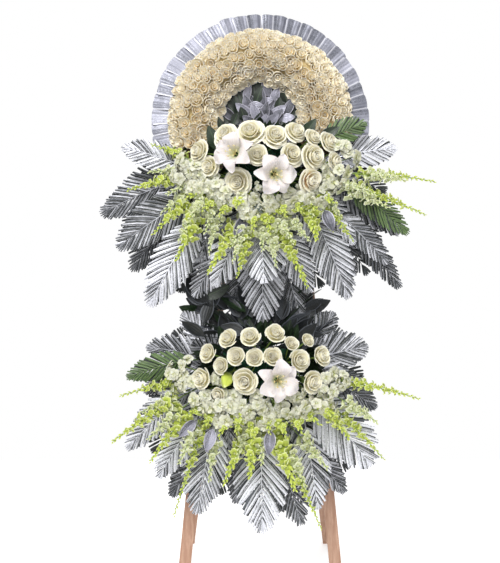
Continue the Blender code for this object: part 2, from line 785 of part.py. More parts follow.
def lilies(hub, blooms):
    """Lilies; each throat stands on the end of its stem."""
    def shape_of(number, start, bloom):
        axes, radius = bloom_axes(bloom), bloom.radius * CM
        stem = rod(start, axes @ Vector((0, 0, -0.33 * radius)), STEM_RADIUS * 0.7, STEM_RADIUS)
        return fused("lily", [stem, lily_head(axes, radius, number * 0.6)])

    return bunch(hub, blooms, [bloom_axes(bloom).translation for bloom in blooms], shape_of)


def tips_of(items):
    """The tips of fronds, spikes or leaves."""
    return [Vector(item.tip) * CM for item in items]


def fronds(hub, blades):
    """Palm fronds."""
    return bunch(hub, blades, tips_of(blades), lambda _, start, frond: frond_blade(start, frond))


def spikes(hub, stems):
    """Snapdragon spikes."""
    return bunch(hub, stems, tips_of(stems), lambda _, start, spike: spike_body(start, spike))


def leaves(hub, blades):
    """Broad leaves on thin stalks."""
    return bunch(hub, blades, tips_of(blades), lambda _, start, leaf: leaf_blade(start, leaf))


def foam_block(hubs, name, parent, collection, cutters):
    """The block of wet foam with a plain hole for each bundle of stems."""
    bm = bmesh.new()
    middle = Vector((0, -(TRAY_WALL + 2 * GAP + FOAM.y / 2), 0))
    bmesh.ops.create_cube(bm, size=1, matrix=Matrix.Translation(middle) @ Matrix.Diagonal((*FOAM, 1)))
    block = place(name, bm, FOAM_GREEN, parent, collection)
    holes = bpy.data.collections.new(f"{name}_holes")
    cutters.children.link(holes)
    for number, hub in enumerate(hubs):
        hole = object_from(f"{name}_hole_{number}", peg_hole(hub), holes)
        hole.parent = parent
        hole.hide_render = True
        hole.display_type = "WIRE"
    cut = block.modifiers.new("Stem holes", "BOOLEAN")
    cut.operation = "DIFFERENCE"
    cut.operand_type = "COLLECTION"
    cut.collection = holes
    cut.solver = "EXACT"


def tray():
    """The shallow tray that holds the foam, open at the front."""
    outer = Vector((FOAM.x / 2 + TRAY_WALL + GAP, 0, FOAM.z / 2 + TRAY_WALL + GAP))
    inner = Vector((FOAM.x / 2 + GAP, 0, FOAM.z / 2 + GAP))

    def corners(half, depth):
        return [Vector((sx * half.x, depth, sz * half.z)) for sx, sz in ((-1, -1), (1, -1), (1, 1), (-1, 1))]

    floor = -(TRAY_WALL + GAP)
    return stack([corners(outer, -GAP), corners(outer, -TRAY_LIP), corners(inner, -TRAY_LIP), corners(inner, floor)])


def beam(corner_of):
    """A timber with flat faces: a cube whose corners, at -1 or 1 each way, are moved to where corner_of puts them."""
    bm = bmesh.new()
    bmesh.ops.create_cube(bm, size=2)
    for vert in bm.verts:
        vert.co = corner_of(*(round(c) for c in vert.co))
    face_outward(bm)
    return bm


def front_leg_x(z):
    """Middle of a front leg, out from the middle of the stand."""
    return FRONT_FOOT_X - FRONT_SPLAY * z


def front_face_y(z):
    """Front face of the front legs."""
    return FRONT_FOOT_Y + LEAN * z


def rear_leg_x(z):
    """Middle of a rear leg: inside its front leg where they cross, and wider at the floor."""
    at_crossing = front_leg_x(REAR_CROSSING_HEIGHT) - LEG_WIDTH - GAP
    share = z / REAR_CROSSING_HEIGHT
    return REAR_FOOT_X + (at_crossing - REAR_FOOT_X) * share


def rear_face_y(z):
    """Front face of the rear legs."""
    at_crossing = front_face_y(REAR_CROSSING_HEIGHT) + LEG_DEPTH
    foot = REAR_FOOT_Y - LEG_DEPTH
    return foot + (at_crossing - foot) * z / REAR_CROSSING_HEIGHT


def leg(sign, middle_x, face_y, height):
    """One slat leg, cut level at the floor."""
    return beam(lambda x, y, z: Vector((
        sign * middle_x((z + 1) / 2 * height) + x * LEG_WIDTH / 2,
        face_y((z + 1) / 2 * height) + (y + 1) / 2 * LEG_DEPTH,
        (z + 1) / 2 * height,
    )))


def rail(height_z, half_length, face_y, offset):
    """A level rail across a pair of legs; offset is its front face's distance behind their front face."""
    return beam(lambda x, y, z: Vector((
        x * half_length,
        face_y(height_z + z * RAIL_HEIGHT / 2) + offset + (y + 1) / 2 * RAIL_DEPTH,
        height_z + z * RAIL_HEIGHT / 2,
    )))


def stretcher(sign):
    """A side timber from a front leg to its rear leg, nailed to their inner faces."""
    def corner(x, y, z):
        height = STRETCHER_Z + z * STRETCHER_HEIGHT / 2
        middle = front_leg_x(height) if y < 0 else rear_leg_x(height)
        inner = middle - LEG_WIDTH / 2 - GAP - (0.001 if y < 0 else 0.0)
        depth = front_face_y(height) if y < 0 else rear_face_y(height) + LEG_DEPTH
        return Vector((sign * (inner - (1 - x) / 2 * STRETCHER_DEPTH), depth, height))

    return beam(corner)


def easel(parent, collection):
    """The nailed timber easel: two splayed front legs, two rear legs and the rails between them."""
    for side, sign in (("left", -1), ("right", 1)):
        front = leg(sign, front_leg_x, front_face_y, FRONT_LEG_HEIGHT)
        rear = leg(sign, rear_leg_x, rear_face_y, REAR_LEG_HEIGHT)
        place(f"front_leg_{side}", front, WOOD, parent, collection)
        place(f"rear_leg_{side}", rear, WOOD, parent, collection)
        place(f"stretcher_{side}", stretcher(sign), WOOD, parent, collection)
    reach = front_leg_x(TOP_RAIL_Z) + LEG_WIDTH / 2
    place("top_rail", rail(TOP_RAIL_Z, reach, front_face_y, LEG_DEPTH + GAP), WOOD, parent, collection)
    reach = rear_leg_x(REAR_RAIL_Z) + RAIL_OVERHANG
    place("rear_rail", rail(REAR_RAIL_Z, reach, rear_face_y, LEG_DEPTH + GAP), WOOD, parent, collection)
    for name, offset in zip(("lower", "upper"), TIER_RAIL_OFFSETS):
        height = LOWER_FOAM_Z + offset
        reach = front_leg_x(height) + LEG_WIDTH / 2
        timber = rail(height, reach, front_face_y, -RAIL_DEPTH - GAP)
        place(f"tier_rail_{name}", timber, WOOD, parent, collection)


def leaning_frame(name, height, out, parent, collection):
    """An empty on the front frame's face at a height, leaning back with it; out is how far forward it stands."""
    empty = bpy.data.objects.new(name, None)
    collection.objects.link(empty)
    tilt = -math.atan(LEAN)
    forward = Vector((0, -math.cos(tilt), -math.sin(tilt)))
    empty.location = Vector((0, front_face_y(height), height)) + forward * out
    empty.rotation_euler = (tilt, 0, 0)
    empty.parent = parent
    return empty


def rim_of_leaves():
    """Silver leaves set side by side round the board, each standing out over the next, trimmed to a circle."""
    bm = bmesh.new()
    bmesh.ops.create_grid(bm, x_segments=2 * RIM_LEAVES, y_segments=1, size=1)
    pitch = 2 * math.pi / RIM_LEAVES
    near = -GAP - RIM_THICKNESS / 2 - 0.0006
    for vert in bm.verts:
        column = round((vert.co.x + 1) / 2 * 2 * RIM_LEAVES)
        radius = RIM_OUTER if vert.co.y > 0 else RIM_INNER
        angle = pitch * (column // 2 + (0.90 if column % 2 else 0.0))
        depth = near - (RIM_STEP if column % 2 else 0.0)
        vert.co = Vector((radius * math.cos(angle), depth, radius * math.sin(angle)))
    bmesh.ops.remove_doubles(bm, verts=bm.verts[:], dist=0.00005)
    face_outward(bm)
    return sheet_solid(bm, RIM_THICKNESS)


def arch_section(half_width, height, base):
    """Half an ellipse in the plane of the ring's radius and depth, from the outer side to the inner one."""
    return [
        Vector((RING_RADIUS + half_width * math.cos(a), -base - height * math.sin(a)))
        for a in (math.pi * i / SECTION_POINTS for i in range(SECTION_POINTS + 1))
    ]


def swept(section, start, span, steps):
    """A closed section carried round the wreath's middle, with flat ends."""
    bm = bmesh.new()
    turns = [start + span * i / steps for i in range(steps + 1)]
    loops = [
        [bm.verts.new((p.x * math.cos(a), p.y, p.x * math.sin(a))) for p in section] for a in turns
    ]
    count = len(section)
    for low, high in zip(loops, loops[1:]):
        for i in range(count):
            j = (i + 1) % count
            bm.faces.new((low[i], low[j], high[j], high[i]))
    bm.faces.new(loops[0])
    bm.faces.new(loops[-1])
    face_outward(bm)
    bmesh.ops.triangulate(bm, faces=bm.faces[:])
    return bm


def rose_places(start, span):
    """Place, facing and radius of each rose of one arc of the arch."""
    rim_width = RING_HALF_WIDTH + ROSE_BED + ROSE_RIM_ABOVE_BED
    for row, count in enumerate(ROSE_ROWS):
        turn = ROSE_ROW_FIRST + (math.pi - 2 * ROSE_ROW_FIRST) * row / (len(ROSE_ROWS) - 1)
        width, height = RING_HALF_WIDTH + ROSE_BED, RING_HEIGHT + ROSE_BED
        pitch = span / count
        radius = min(0.0200, 0.485 * pitch * (RING_RADIUS + rim_width * math.cos(turn)))
        normal = Vector((math.cos(turn) / width, math.sin(turn) / height)).normalized()
        for number in range(count):
            angle = start + pitch * (number + 0.5)
            out = Vector((math.cos(angle), 0, math.sin(angle)))
            distance = RING_RADIUS + width * math.cos(turn)
            seat = out * distance + Vector((0, -2 * GAP - height * math.sin(turn), 0))
            facing = out * normal.x + Vector((0, -normal.y, 0))
            yield axes_at(seat, facing), radius, (row * 7 + number) * GOLDEN_ANGLE


def rose_arc(number):
    """One arc of the arch: a bed of packed sepals over the foam ring, with the roses standing out of it."""
    span = ARCH_SPAN / ARCS
    start = ARCH_START + span * number
    trim = GAP / RING_RADIUS
    outside = arch_section(RING_HALF_WIDTH + ROSE_BED, RING_HEIGHT + ROSE_BED, GAP)
    inside = arch_section(RING_HALF_WIDTH + GAP, RING_HEIGHT + GAP, GAP)
    bed = swept(outside + inside[::-1], start + trim, span - 2 * trim, STEPS_PER_ARC)
    heads = [rose_head(axes, radius, spin, PACKED_ROSE) for axes, radius, spin in rose_places(start, span)]
    return fused("rose_arc", [bed, *heads])


def wreath_leaves():
    """The silver leaves in the middle of the wreath, on one short stalk against the board."""
    foot = WREATH_LEAF_ROOT
    pieces = [rod(foot + Vector((0, -GAP, 0)), foot + Vector((0, -0.050, 0)), 0.008, 0.008, PEG_SIDES)]
    for leaf in WREATH_LEAVES:
        moved = Leaf(
            tuple(a + b / CM for a, b in zip(leaf.root, foot)),
            tuple(a + b / CM for a, b in zip(leaf.tip, foot)),
            leaf.width,
        )
        start = foot + Vector((0, 0.8 * moved.root[1] * CM, 0))
        pieces.append(leaf_blade(start, moved))
    return fused("wreath_leaves", pieces)


def wreath(stand, collection):
    """The round board with its rim of leaves, the foam ring, the arch of roses and the leaves in the middle."""
    seat = leaning_frame("wreath_seat", WREATH_Z, GAP, stand, collection)
    face = leaning_frame("wreath_face", WREATH_Z, GAP + BOARD_DEPTH, stand, collection)
    bm = bmesh.new()
    bmesh.ops.create_cone(
        bm,
        cap_ends=True,
        segments=BOARD_SIDES,
        radius1=BOARD_RADIUS,
        radius2=BOARD_RADIUS,
        depth=BOARD_DEPTH,
        matrix=axes_at(Vector((0, -BOARD_DEPTH / 2, 0)), Vector((0, 1, 0))),
    )
    place("backing_board", bm, BOARD, seat, collection)
    place("rim_leaves", rim_of_leaves(), SILVER_LEAF, face, collection)
    ring = swept(arch_section(RING_HALF_WIDTH, RING_HEIGHT, GAP), ARCH_START, ARCH_SPAN, ARCS * STEPS_PER_ARC)
    place("foam_ring", ring, FOAM_GREEN, face, collection)
    for number in range(ARCS):
        place(f"rose_arc_{number + 1}", rose_arc(number), CREAM_PETAL, face, collection)
    place("wreath_leaves", wreath_leaves(), SILVER_LEAF, face, collection)


@dataclass(frozen=True)
class Tier:
    """What stands in one foam block."""

    name: str
    height: float
    out: float
    fronds: dict
    green_fronds: tuple
    spikes: dict
    roses: dict
    lilies: tuple
    small_whites: dict
    silver_leaves: dict
    green_leaves: tuple

    def bundles(self):
        """Every piece that stands in the foam: its name, its hub, its shapes, its maker and its finish."""
        for key, (hub, items) in self.fronds.items():
            yield f"silver_fronds_{key}", hub, items, fronds, SILVER_LEAF
        yield "green_fronds", *self.green_fronds, fronds, GREEN_LEAF
        for key, (hub, items) in self.spikes.items():
            yield f"snapdragons_{key}", hub, items, spikes, LIME_BUD
        for key, (hub, items) in self.roses.items():
            yield f"roses_{key}", hub, items, roses, WHITE_PETAL
        yield "lilies", *self.lilies, lilies, LILY_PETAL
        for key, (hub, items) in self.small_whites.items():
            yield f"small_whites_{key}", hub, items, small_whites, SMALL_WHITE
        for key, (hub, items) in self.silver_leaves.items():
            yield f"silver_leaves_{key}", hub, items, leaves, SILVER_LEAF
        yield "green_leaves", *self.green_leaves, leaves, GREEN_LEAF


def build_tier(tier, stand, collection, cutters):
    """One foam block in its tray with everything that stands in it."""
    frame = leaning_frame(f"{tier.name}_tier", tier.height, tier.out, stand, collection)
    place(f"{tier.name}_tray", tray(), TRAY_BLACK, frame, collection)
    hubs = [hub for _, hub, _, _, _ in tier.bundles()]
    foam_block(hubs, f"{tier.name}_foam", frame, collection, cutters)
    for name, hub, items, maker, finish in tier.bundles():
        place(f"{tier.name}_{name}", maker(hub, items), finish, frame, collection)


def main():
    clear_scene()
    model = new_collection("funeral_flower_stand")
    cutters = new_collection("cutters")
    stand = bpy.data.objects.new("stand", None)
    model.objects.link(stand)
    stand.location = STAND_SHIFT
    easel(stand, model)
    wreath(stand, model)
    on_board = GAP + BOARD_DEPTH
    on_rails = GAP + RAIL_DEPTH * math.cos(math.atan(LEAN))
    for tier in (
        Tier("upper", UPPER_FOAM_Z, on_board, UPPER_FRONDS, UPPER_GREEN_FRONDS, UPPER_SPIKES, UPPER_ROSES,
             UPPER_LILIES, UPPER_SMALL_WHITES, UPPER_SILVER_LEAVES, UPPER_GREEN_LEAVES),
        Tier("lower", LOWER_FOAM_Z, on_rails, LOWER_FRONDS, LOWER_GREEN_FRONDS, LOWER_SPIKES, LOWER_ROSES,
             LOWER_LILIES, LOWER_SMALL_WHITES, LOWER_SILVER_LEAVES, LOWER_GREEN_LEAVES),
    ):
        build_tier(tier, stand, model, cutters)


main()
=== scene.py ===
"""Looks of the two-tier funeral flower stand.

A timber easel carries a round board with an arch of cream roses in a rim of silvered leaves, and two foam
blocks full of silvered palm, snapdragons, roses, lilies and small white flowers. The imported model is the
frame: its timber, board, trays and foam stay and get their finish here, and each bunch of flowers or leaves
is drawn again in its place with its real petals, leaflets and florets. Metres, +Z up, -Y is the front. All
chance is seeded. The formula of a petal or leaf gives its shape in shares of its own size.
"""

import functools
import logging
import math
from collections.abc import Iterator, Sequence
from dataclasses import dataclass, replace
from enum import Enum

import bpy
import numpy as np
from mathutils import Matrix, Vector


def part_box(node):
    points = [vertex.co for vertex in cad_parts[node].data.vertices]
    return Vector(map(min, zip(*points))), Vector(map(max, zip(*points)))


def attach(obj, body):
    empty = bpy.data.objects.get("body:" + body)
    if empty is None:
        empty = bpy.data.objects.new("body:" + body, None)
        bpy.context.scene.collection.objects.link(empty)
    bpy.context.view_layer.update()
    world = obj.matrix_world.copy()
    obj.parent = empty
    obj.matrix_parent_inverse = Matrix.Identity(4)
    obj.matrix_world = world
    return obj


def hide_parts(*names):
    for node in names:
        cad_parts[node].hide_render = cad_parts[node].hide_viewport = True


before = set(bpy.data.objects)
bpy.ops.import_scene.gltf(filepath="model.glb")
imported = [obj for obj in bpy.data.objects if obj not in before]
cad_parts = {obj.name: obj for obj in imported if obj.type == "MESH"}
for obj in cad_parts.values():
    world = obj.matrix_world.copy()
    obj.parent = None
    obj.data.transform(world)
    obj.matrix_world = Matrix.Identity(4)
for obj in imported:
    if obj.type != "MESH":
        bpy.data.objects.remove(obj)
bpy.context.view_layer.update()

LOG = logging.getLogger("flower_stand")
Array = np.ndarray
Chance = np.random.Generator
Socket = bpy.types.NodeSocket

CM = 0.01
GAP = 0.0003
GOLDEN_ANGLE = math.radians(137.5)
FORWARD = np.array((0.0, -1.0, 0.0))
UP = np.array((0.0, 0.0, 1.0))
FORM = "form"  # the points' attribute: across and along the leaf or petal, and its tint

# Sizes that the part's own source also holds
LEG_DEPTH = 0.020
BOARD_DEPTH = 0.009
FOAM = np.array((0.240, 0.120, 0.160))
FOAM_MIDDLE = 0.0656  # from the tier's seat to the middle of its foam
FOAM_FRONT = -FOAM_MIDDLE - FOAM[1] / 2
PEG_RADIUS = 0.0055
PEG_DEPTH = 0.030
PEG_HEAD = 0.008
BRANCH_STEP = 0.007
STEM_RADIUS = 0.0024

DOME_FRONT = -0.275  # the depth of the flowers in front of the foam's middle
DOME_BEND = 0.9  # how fast they fall back to the sides, for each metre and metre out
STRIDES = (0.618, 0.377, 0.241)  # three shares whose steps never fall together
STALK_RADIUS = 0.0009  # the thin stalk of a side flower
SEPAL_THICKNESS = 0.0006
TIER_COPIES = 4  # different small flowers and florets that the rest are stamped from
ROSE_COPIES = 5

SHARP_FROM = math.radians(58)  # edges that bend more look sharp
TINT_SPREAD = 0.3  # how far the petals of one stamped flower differ in tint


def unit(vectors: Array) -> Array:
    """The vectors scaled to length one."""
    return vectors / np.maximum(np.linalg.norm(vectors, axis=-1, keepdims=True), 1e-12)


def smooth(values: Array, low: float, high: float) -> Array:
    """How far values have gone from low to high, eased at both ends."""
    share = np.clip((values - low) / (high - low), 0.0, 1.0)
    return share * share * (3.0 - 2.0 * share)


def phase(chance: Chance) -> float:
    """Where a wave or a turn starts, drawn from a whole turn."""
    return chance.uniform(0, 6.28)


def strewn(number: int, stride: float) -> float:
    """A share from 0 to 1 that jumps about evenly from one number to the next."""
    return number * stride % 1.0


def dome(x: float, z: float) -> float:
    """How deep the dome of flowers lies at a place, from the foam's middle."""
    return DOME_FRONT + DOME_BEND * (x * x + z * z)


def scattered(
    count: int, half_width: float, half_height: float, turn: float = 0.0
) -> Iterator[tuple[float, float]]:
    """Places spread evenly over an ellipse, in turns of the golden angle, as X and Z."""
    for number in range(count):
        distance, angle = math.sqrt((number + 0.5) / count), number * GOLDEN_ANGLE + turn
        yield half_width * distance * math.cos(angle), half_height * distance * math.sin(angle)


def stood_up(points: Array) -> Array:
    """Points whose Z axis is turned to the front."""
    return points[..., [0, 2, 1]] * np.array((1.0, -1.0, 1.0))


def leaf_grid(rows: int, columns: int) -> tuple[Array, Array]:
    """Where the points of a leaf or petal lie on it.

    Args:
        rows: Points along it.
        columns: Points across it.

    Returns:
        How far along it each point is, from 0 to 1, and how far across, from -1 to 1.
    """
    return tuple(np.meshgrid(np.linspace(0, 1, rows), np.linspace(-1, 1, columns), indexing="ij"))


@dataclass(frozen=True)
class Axes:
    """A place and a turn: the columns of `turn` are the X, Y and Z directions of what is put there."""

    origin: Array
    turn: Array

    @classmethod
    def facing(cls, origin: Array, direction: Array, spin: float = 0.0) -> "Axes":
        """Axes whose Z runs along a direction, turned about it by a spin."""
        turn = np.array(Vector(direction).to_track_quat("Z", "Y").to_matrix())
        c, s = math.cos(spin), math.sin(spin)
        return cls(np.asarray(origin, float), turn @ np.array(((c, -s, 0), (s, c, 0), (0, 0, 1))))

    @classmethod
    def upright(cls, origin: Array, direction: Array, towards: Array) -> "Axes":
        """Axes whose Z runs along a direction and whose Y leans towards another."""
        z = unit(direction)
        x = unit(np.cross(towards, z))
        return cls(np.asarray(origin, float), np.stack((x, np.cross(z, x), z), axis=1))

    def place(self, points: Array, size: float = 1.0) -> Array:
        """The points, scaled and put in these axes."""
        return points @ self.turn.T * size + self.origin


@dataclass(frozen=True)
class Rib:
    """A stem's line: a quadratic curve from its root, towards a bend, to its tip."""

    root: Array
    bend: Array
    tip: Array

    @classmethod
    def arched(cls, root: Array, tip: Array, rise: float) -> "Rib":
        """A stem that rises as it leaves the foam and droops to its tip."""
        return cls(root, (root + tip) / 2 + np.array((0.0, -0.35 * rise, rise)), tip)

    def at(self, t: Array) -> Array:
        """The points of the line at shares of its run."""
        t = np.asarray(t, float)[..., None]
        return self.root * (1 - t) ** 2 + self.bend * 2 * t * (1 - t) + self.tip * t**2

    def frame(self, t: float) -> tuple[Array, Array, Array]:
        """The line's direction at a share of its run, its side and its outward direction."""
        along = unit((self.bend - self.root) * (1 - t) + (self.tip - self.bend) * t)
        side = unit(np.cross(along, FORWARD))
        return along, side, unit(np.cross(side, along))


@functools.lru_cache(maxsize=None)
def sheet_faces(rows: int, columns: int) -> Array:
    """The faces of a solid sheet: its front, its back and the strip round its edge."""
    index = np.arange(rows * columns).reshape(rows, columns)
    corners = (index[:-1, :-1], index[:-1, 1:], index[1:, 1:], index[1:, :-1])
    front = np.stack(corners, axis=-1).reshape(-1, 4)
    edge = np.concatenate((index[0, :-1], index[:-1, -1], index[-1, :0:-1], index[:0:-1, 0]))
    after = np.roll(edge, -1)
    strip = np.stack((after, edge, edge + rows * columns, after + rows * columns), axis=-1)
    return np.concatenate((front, front[:, ::-1] + rows * columns, strip))


@functools.lru_cache(maxsize=None)
def skin_faces(rings: int, sides: int) -> tuple[Array, Array]:
    """The four-sided faces of a closed skin over rings, and the fans over its two ends."""
    index = np.arange(rings * sides).reshape(rings, sides)
    after = np.roll(index, -1, axis=1)
    walls = np.stack((index[:-1], after[:-1], after[1:], index[1:]), axis=-1).reshape(-1, 4)
    first, last = np.full(sides, rings * sides), np.full(sides, rings * sides + 1)
    fans = (np.stack((after[0], index[0], first), axis=-1), np.stack((index[-1], after[-1], last), axis=-1))
    return walls, np.concatenate(fans)


class Draft:
    """The surfaces of one piece, gathered before they become one mesh."""

    def __init__(self) -> None:
        """Starts with nothing drawn."""
        self.points: list[Array] = [np.empty((0, 3))]
        self.forms: list[Array] = [np.empty((0, 3))]
        self.quads: list[Array] = [np.empty((0, 4), int)]
        self.triangles: list[Array] = [np.empty((0, 3), int)]
        self.count = 0

    def _add(self, points: Array, forms: Array, quads: Array, triangles: Array) -> None:
        """Adds points with their forms, and faces that number those points from 0."""
        self.points.append(points)
        self.forms.append(forms)
        self.quads.append(quads + self.count)
        self.triangles.append(triangles + self.count)
        self.count += len(points)

    def sheet(self, grid: Array, thickness: float, tint: float) -> None:
        """Adds a thin solid leaf or petal.

        Args:
            grid: Its middle surface, rows of points along it by columns across it.
            thickness: How thick it is.
            tint: Its own place between the finish's tints, from 0 to 1.
        """
        rows, columns = grid.shape[:2]
        normal = unit(np.cross(np.gradient(grid, axis=1), np.gradient(grid, axis=0)))
        sides = [(grid + normal * way * thickness / 2).reshape(-1, 3) for way in (1, -1)]
        along, across = leaf_grid(rows, columns)
        form = np.stack((across / 2 + 0.5, along, np.full_like(along, tint)), axis=-1).reshape(-1, 3)
        faces = sheet_faces(rows, columns)
        self._add(np.concatenate(sides), np.concatenate((form, form)), faces, np.empty((0, 3), int))

    def skin(self, rings: Array, tint: float) -> None:
        """Adds a closed skin over rings of points, with a fan over each end."""
        count, sides = rings.shape[:2]
        walls, fans = skin_faces(count, sides)
        points = np.concatenate((rings.reshape(-1, 3), rings[0].mean(0)[None], rings[-1].mean(0)[None]))
        along, across = np.meshgrid(np.linspace(0, 1, count), np.arange(sides) / sides, indexing="ij")
        form = np.stack((across, along, np.full_like(along, tint)), axis=-1).reshape(-1, 3)
        self._add(points, np.concatenate((form, [[0.5, 0, tint], [0.5, 1, tint]])), walls, fans)

    def tube(self, path: Array, radii: Array, sides: int, tint: float) -> None:
        """Adds a round stem along a path, with a radius for each of its points."""
        along = unit(np.gradient(path, axis=0))
        spare = np.eye(3)[np.argmin(np.abs(along.mean(0)))]
        side = unit(np.cross(along, spare))
        other = np.cross(along, side)
        turns = np.arange(sides) * 2 * math.pi / sides
        ring = side[:, None] * np.cos(turns)[:, None] + other[:, None] * np.sin(turns)[:, None]
        self.skin(path[:, None] + ring * np.asarray(radii)[:, None, None], tint)

    def stamp(self, form: "Draft", axes: Axes, size: float, tint: float) -> None:
        """Adds a copy of another draft, put in axes, with its tints gathered round one tint."""
        form.merge()
        forms = form.forms[0].copy()
        forms[:, 2] = np.clip(tint + TINT_SPREAD * (forms[:, 2] - 0.5), 0.0, 1.0)
        self._add(axes.place(form.points[0], size), forms, form.quads[0], form.triangles[0])

    def merge(self) -> None:
        """Joins what was gathered so far into single arrays."""
        if len(self.points) > 1:
            self.points = [np.concatenate(self.points)]
            self.forms = [np.concatenate(self.forms)]
            self.quads = [np.concatenate(self.quads)]
            self.triangles = [np.concatenate(self.triangles)]

    def piece(
        self, name: str, finish: "Finish", axes: Axes, stands_for: Sequence[str] = ()
    ) -> bpy.types.Object:
        """Turns the draft into one object that rides on the stand.

        Args:
            name: The piece's name.
            finish: What it is made of.
            axes: Where the draft's own axes are.
            stands_for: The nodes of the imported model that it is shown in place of.

        Returns:
            The object.
        """
        self.merge()
        points = axes.place(self.points[0])
        quads, triangles = self.quads[0], self.triangles[0]
        mesh = bpy.data.meshes.new(name)
        mesh.vertices.add(len(points))
        mesh.vertices.foreach_set("co", points.ravel())
        corners = np.concatenate((quads.ravel(), triangles.ravel()))
        mesh.loops.add(len(corners))
        mesh.loops.foreach_set("vertex_index", corners)
        sizes = np.concatenate((np.full(len(quads), 4), np.full(len(triangles), 3)))
        mesh.polygons.add(len(sizes))
        mesh.polygons.foreach_set("loop_start", np.cumsum(sizes) - sizes)
        mesh.update(calc_edges=True)
        attribute = mesh.attributes.new(FORM, "FLOAT_VECTOR", "POINT")
        attribute.data.foreach_set("vector", self.forms[0].ravel())
        mesh.shade_smooth()
        mesh.set_sharp_from_angle(angle=SHARP_FROM)
        mesh.materials.append(finish.material())
        obj = bpy.data.objects.new(name, mesh)
        bpy.context.scene.collection.objects.link(obj)
        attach(obj, "root")
        if stands_for:
            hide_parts(*stands_for)
        LOG.info("%s: %d triangles of %s", name, 2 * len(quads) + len(triangles), finish.name)
        return obj


def linear(colour: str) -> tuple[float, float, float, float]:
    """An sRGB hex colour as linear red, green, blue and alpha."""
    parts = [int(colour[i:i + 2], 16) / 255 for i in (1, 3, 5)]
    return (*(p / 12.92 if p <= 0.04045 else ((p + 0.055) / 1.055) ** 2.4 for p in parts), 1.0)


def add_node(tree: bpy.types.NodeTree, kind: str, settings: dict, inputs: dict) -> bpy.types.Node:
    """Adds a node with its settings and links.

    Args:
        tree: The material's node tree.
        kind: What follows "ShaderNode" in the name of the node's type.
        settings: The node's own properties.
        inputs: For an input's name or number, the value that it holds or the socket that feeds it.

    Returns:
        The new node.
    """
    node = tree.nodes.new(f"ShaderNode{kind}")
    for key, value in settings.items():
        setattr(node, key, value)
    for key, value in inputs.items():
        if isinstance(value, Socket):
            tree.links.new(value, node.inputs[key])
        else:
            node.inputs[key].default_value = value
    return node


class Nodes:
    """The nodes of one material, each added by what it does."""

    def __init__(self, tree: bpy.types.NodeTree) -> None:
        """Starts with the place in the room, in metres."""
        self.tree = tree
        self.place = self.add("TexCoord", {}, "Object")

    def add(self, kind: str, inputs: dict, output: int | str = 0, **settings: str) -> Socket:
        """Adds a node and gives one of its outputs."""
        return add_node(self.tree, kind, settings, inputs).outputs[output]

    def form(self) -> Sequence[Socket]:
        """How far across and along its leaf or petal a point lies, and the leaf's tint, each from 0 to 1."""
        vector = self.add("Attribute", {}, "Vector", attribute_name=FORM)
        return tuple(add_node(self.tree, "SeparateXYZ", {}, {0: vector}).outputs)

    def noise(self, density: float, detail: float, vector: Socket | None = None, **more: float) -> Socket:
        """Noise with so many spots to the metre."""
        inputs = {"Vector": vector or self.place, "Scale": density, "Detail": detail, **more}
        return self.add("TexNoise", inputs)

    def math(self, operation: str, *values: Socket | float) -> Socket:
        """One operation on up to three values."""
        return self.add("Math", dict(enumerate(values)), operation=operation)

    def wave(self, across: Socket, count: float) -> Socket:
        """How many turns a wave has gone through, as an angle."""
        return self.math("MULTIPLY", across, count * 2 * math.pi)

    def ramp(
        self, value: Socket, low: float = 0.0, high: float = 1.0, start: float = 0.0,
        end: Socket | float = 1.0,
    ) -> Socket:
        """A value that goes from start to end while the given one goes from low to high."""
        return self.add("MapRange", dict(enumerate((value, low, high, start, end))))

    def mix(self, share: Socket, first: Socket | str, second: Socket | str, blend: str = "MIX") -> Socket:
        """Two colours, each a socket or a hex colour, mixed by the share of the second."""
        first, second = (linear(colour) if isinstance(colour, str) else colour for colour in (first, second))
        return self.add("Mix", {0: share, 6: first, 7: second}, 2, data_type="RGBA", blend_type=blend)

    def feed(self, shader: bpy.types.Node, relief: tuple[Socket, float, float], **inputs: Socket) -> None:
        """Links what was made to the shader.

        Args:
            shader: The material's shader.
            relief: The height of the surface, the strength of the bump and its depth in metres.
            inputs: For an input's name, with _ for a space, the socket that feeds it.
        """
        height, strength, distance = relief
        bump = self.add("Bump", {"Strength": strength, "Distance": distance, "Height": height})
        for name, socket in {**inputs, "Normal": bump}.items():
            self.tree.links.new(socket, shader.inputs[name.replace("_", " ")])


class Finish:
    """What a surface is made of. A finish gives its name, the name of its slot and its own nodes."""

    name: str
    slot: str  # for the pieces that are drawn here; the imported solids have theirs

    def wire(self, nodes: Nodes, shader: bpy.types.Node) -> None:
        """Adds the nodes that feed the shader."""
        raise NotImplementedError

    def material(self) -> bpy.types.Material:
        """The finish as a material, made once."""
        made = bpy.data.materials.get(self.name)
        if made is None:
            made = bpy.data.materials.new(self.name)
            made.use_nodes = True
            self.wire(Nodes(made.node_tree), made.node_tree.nodes["Principled BSDF"])
        return made


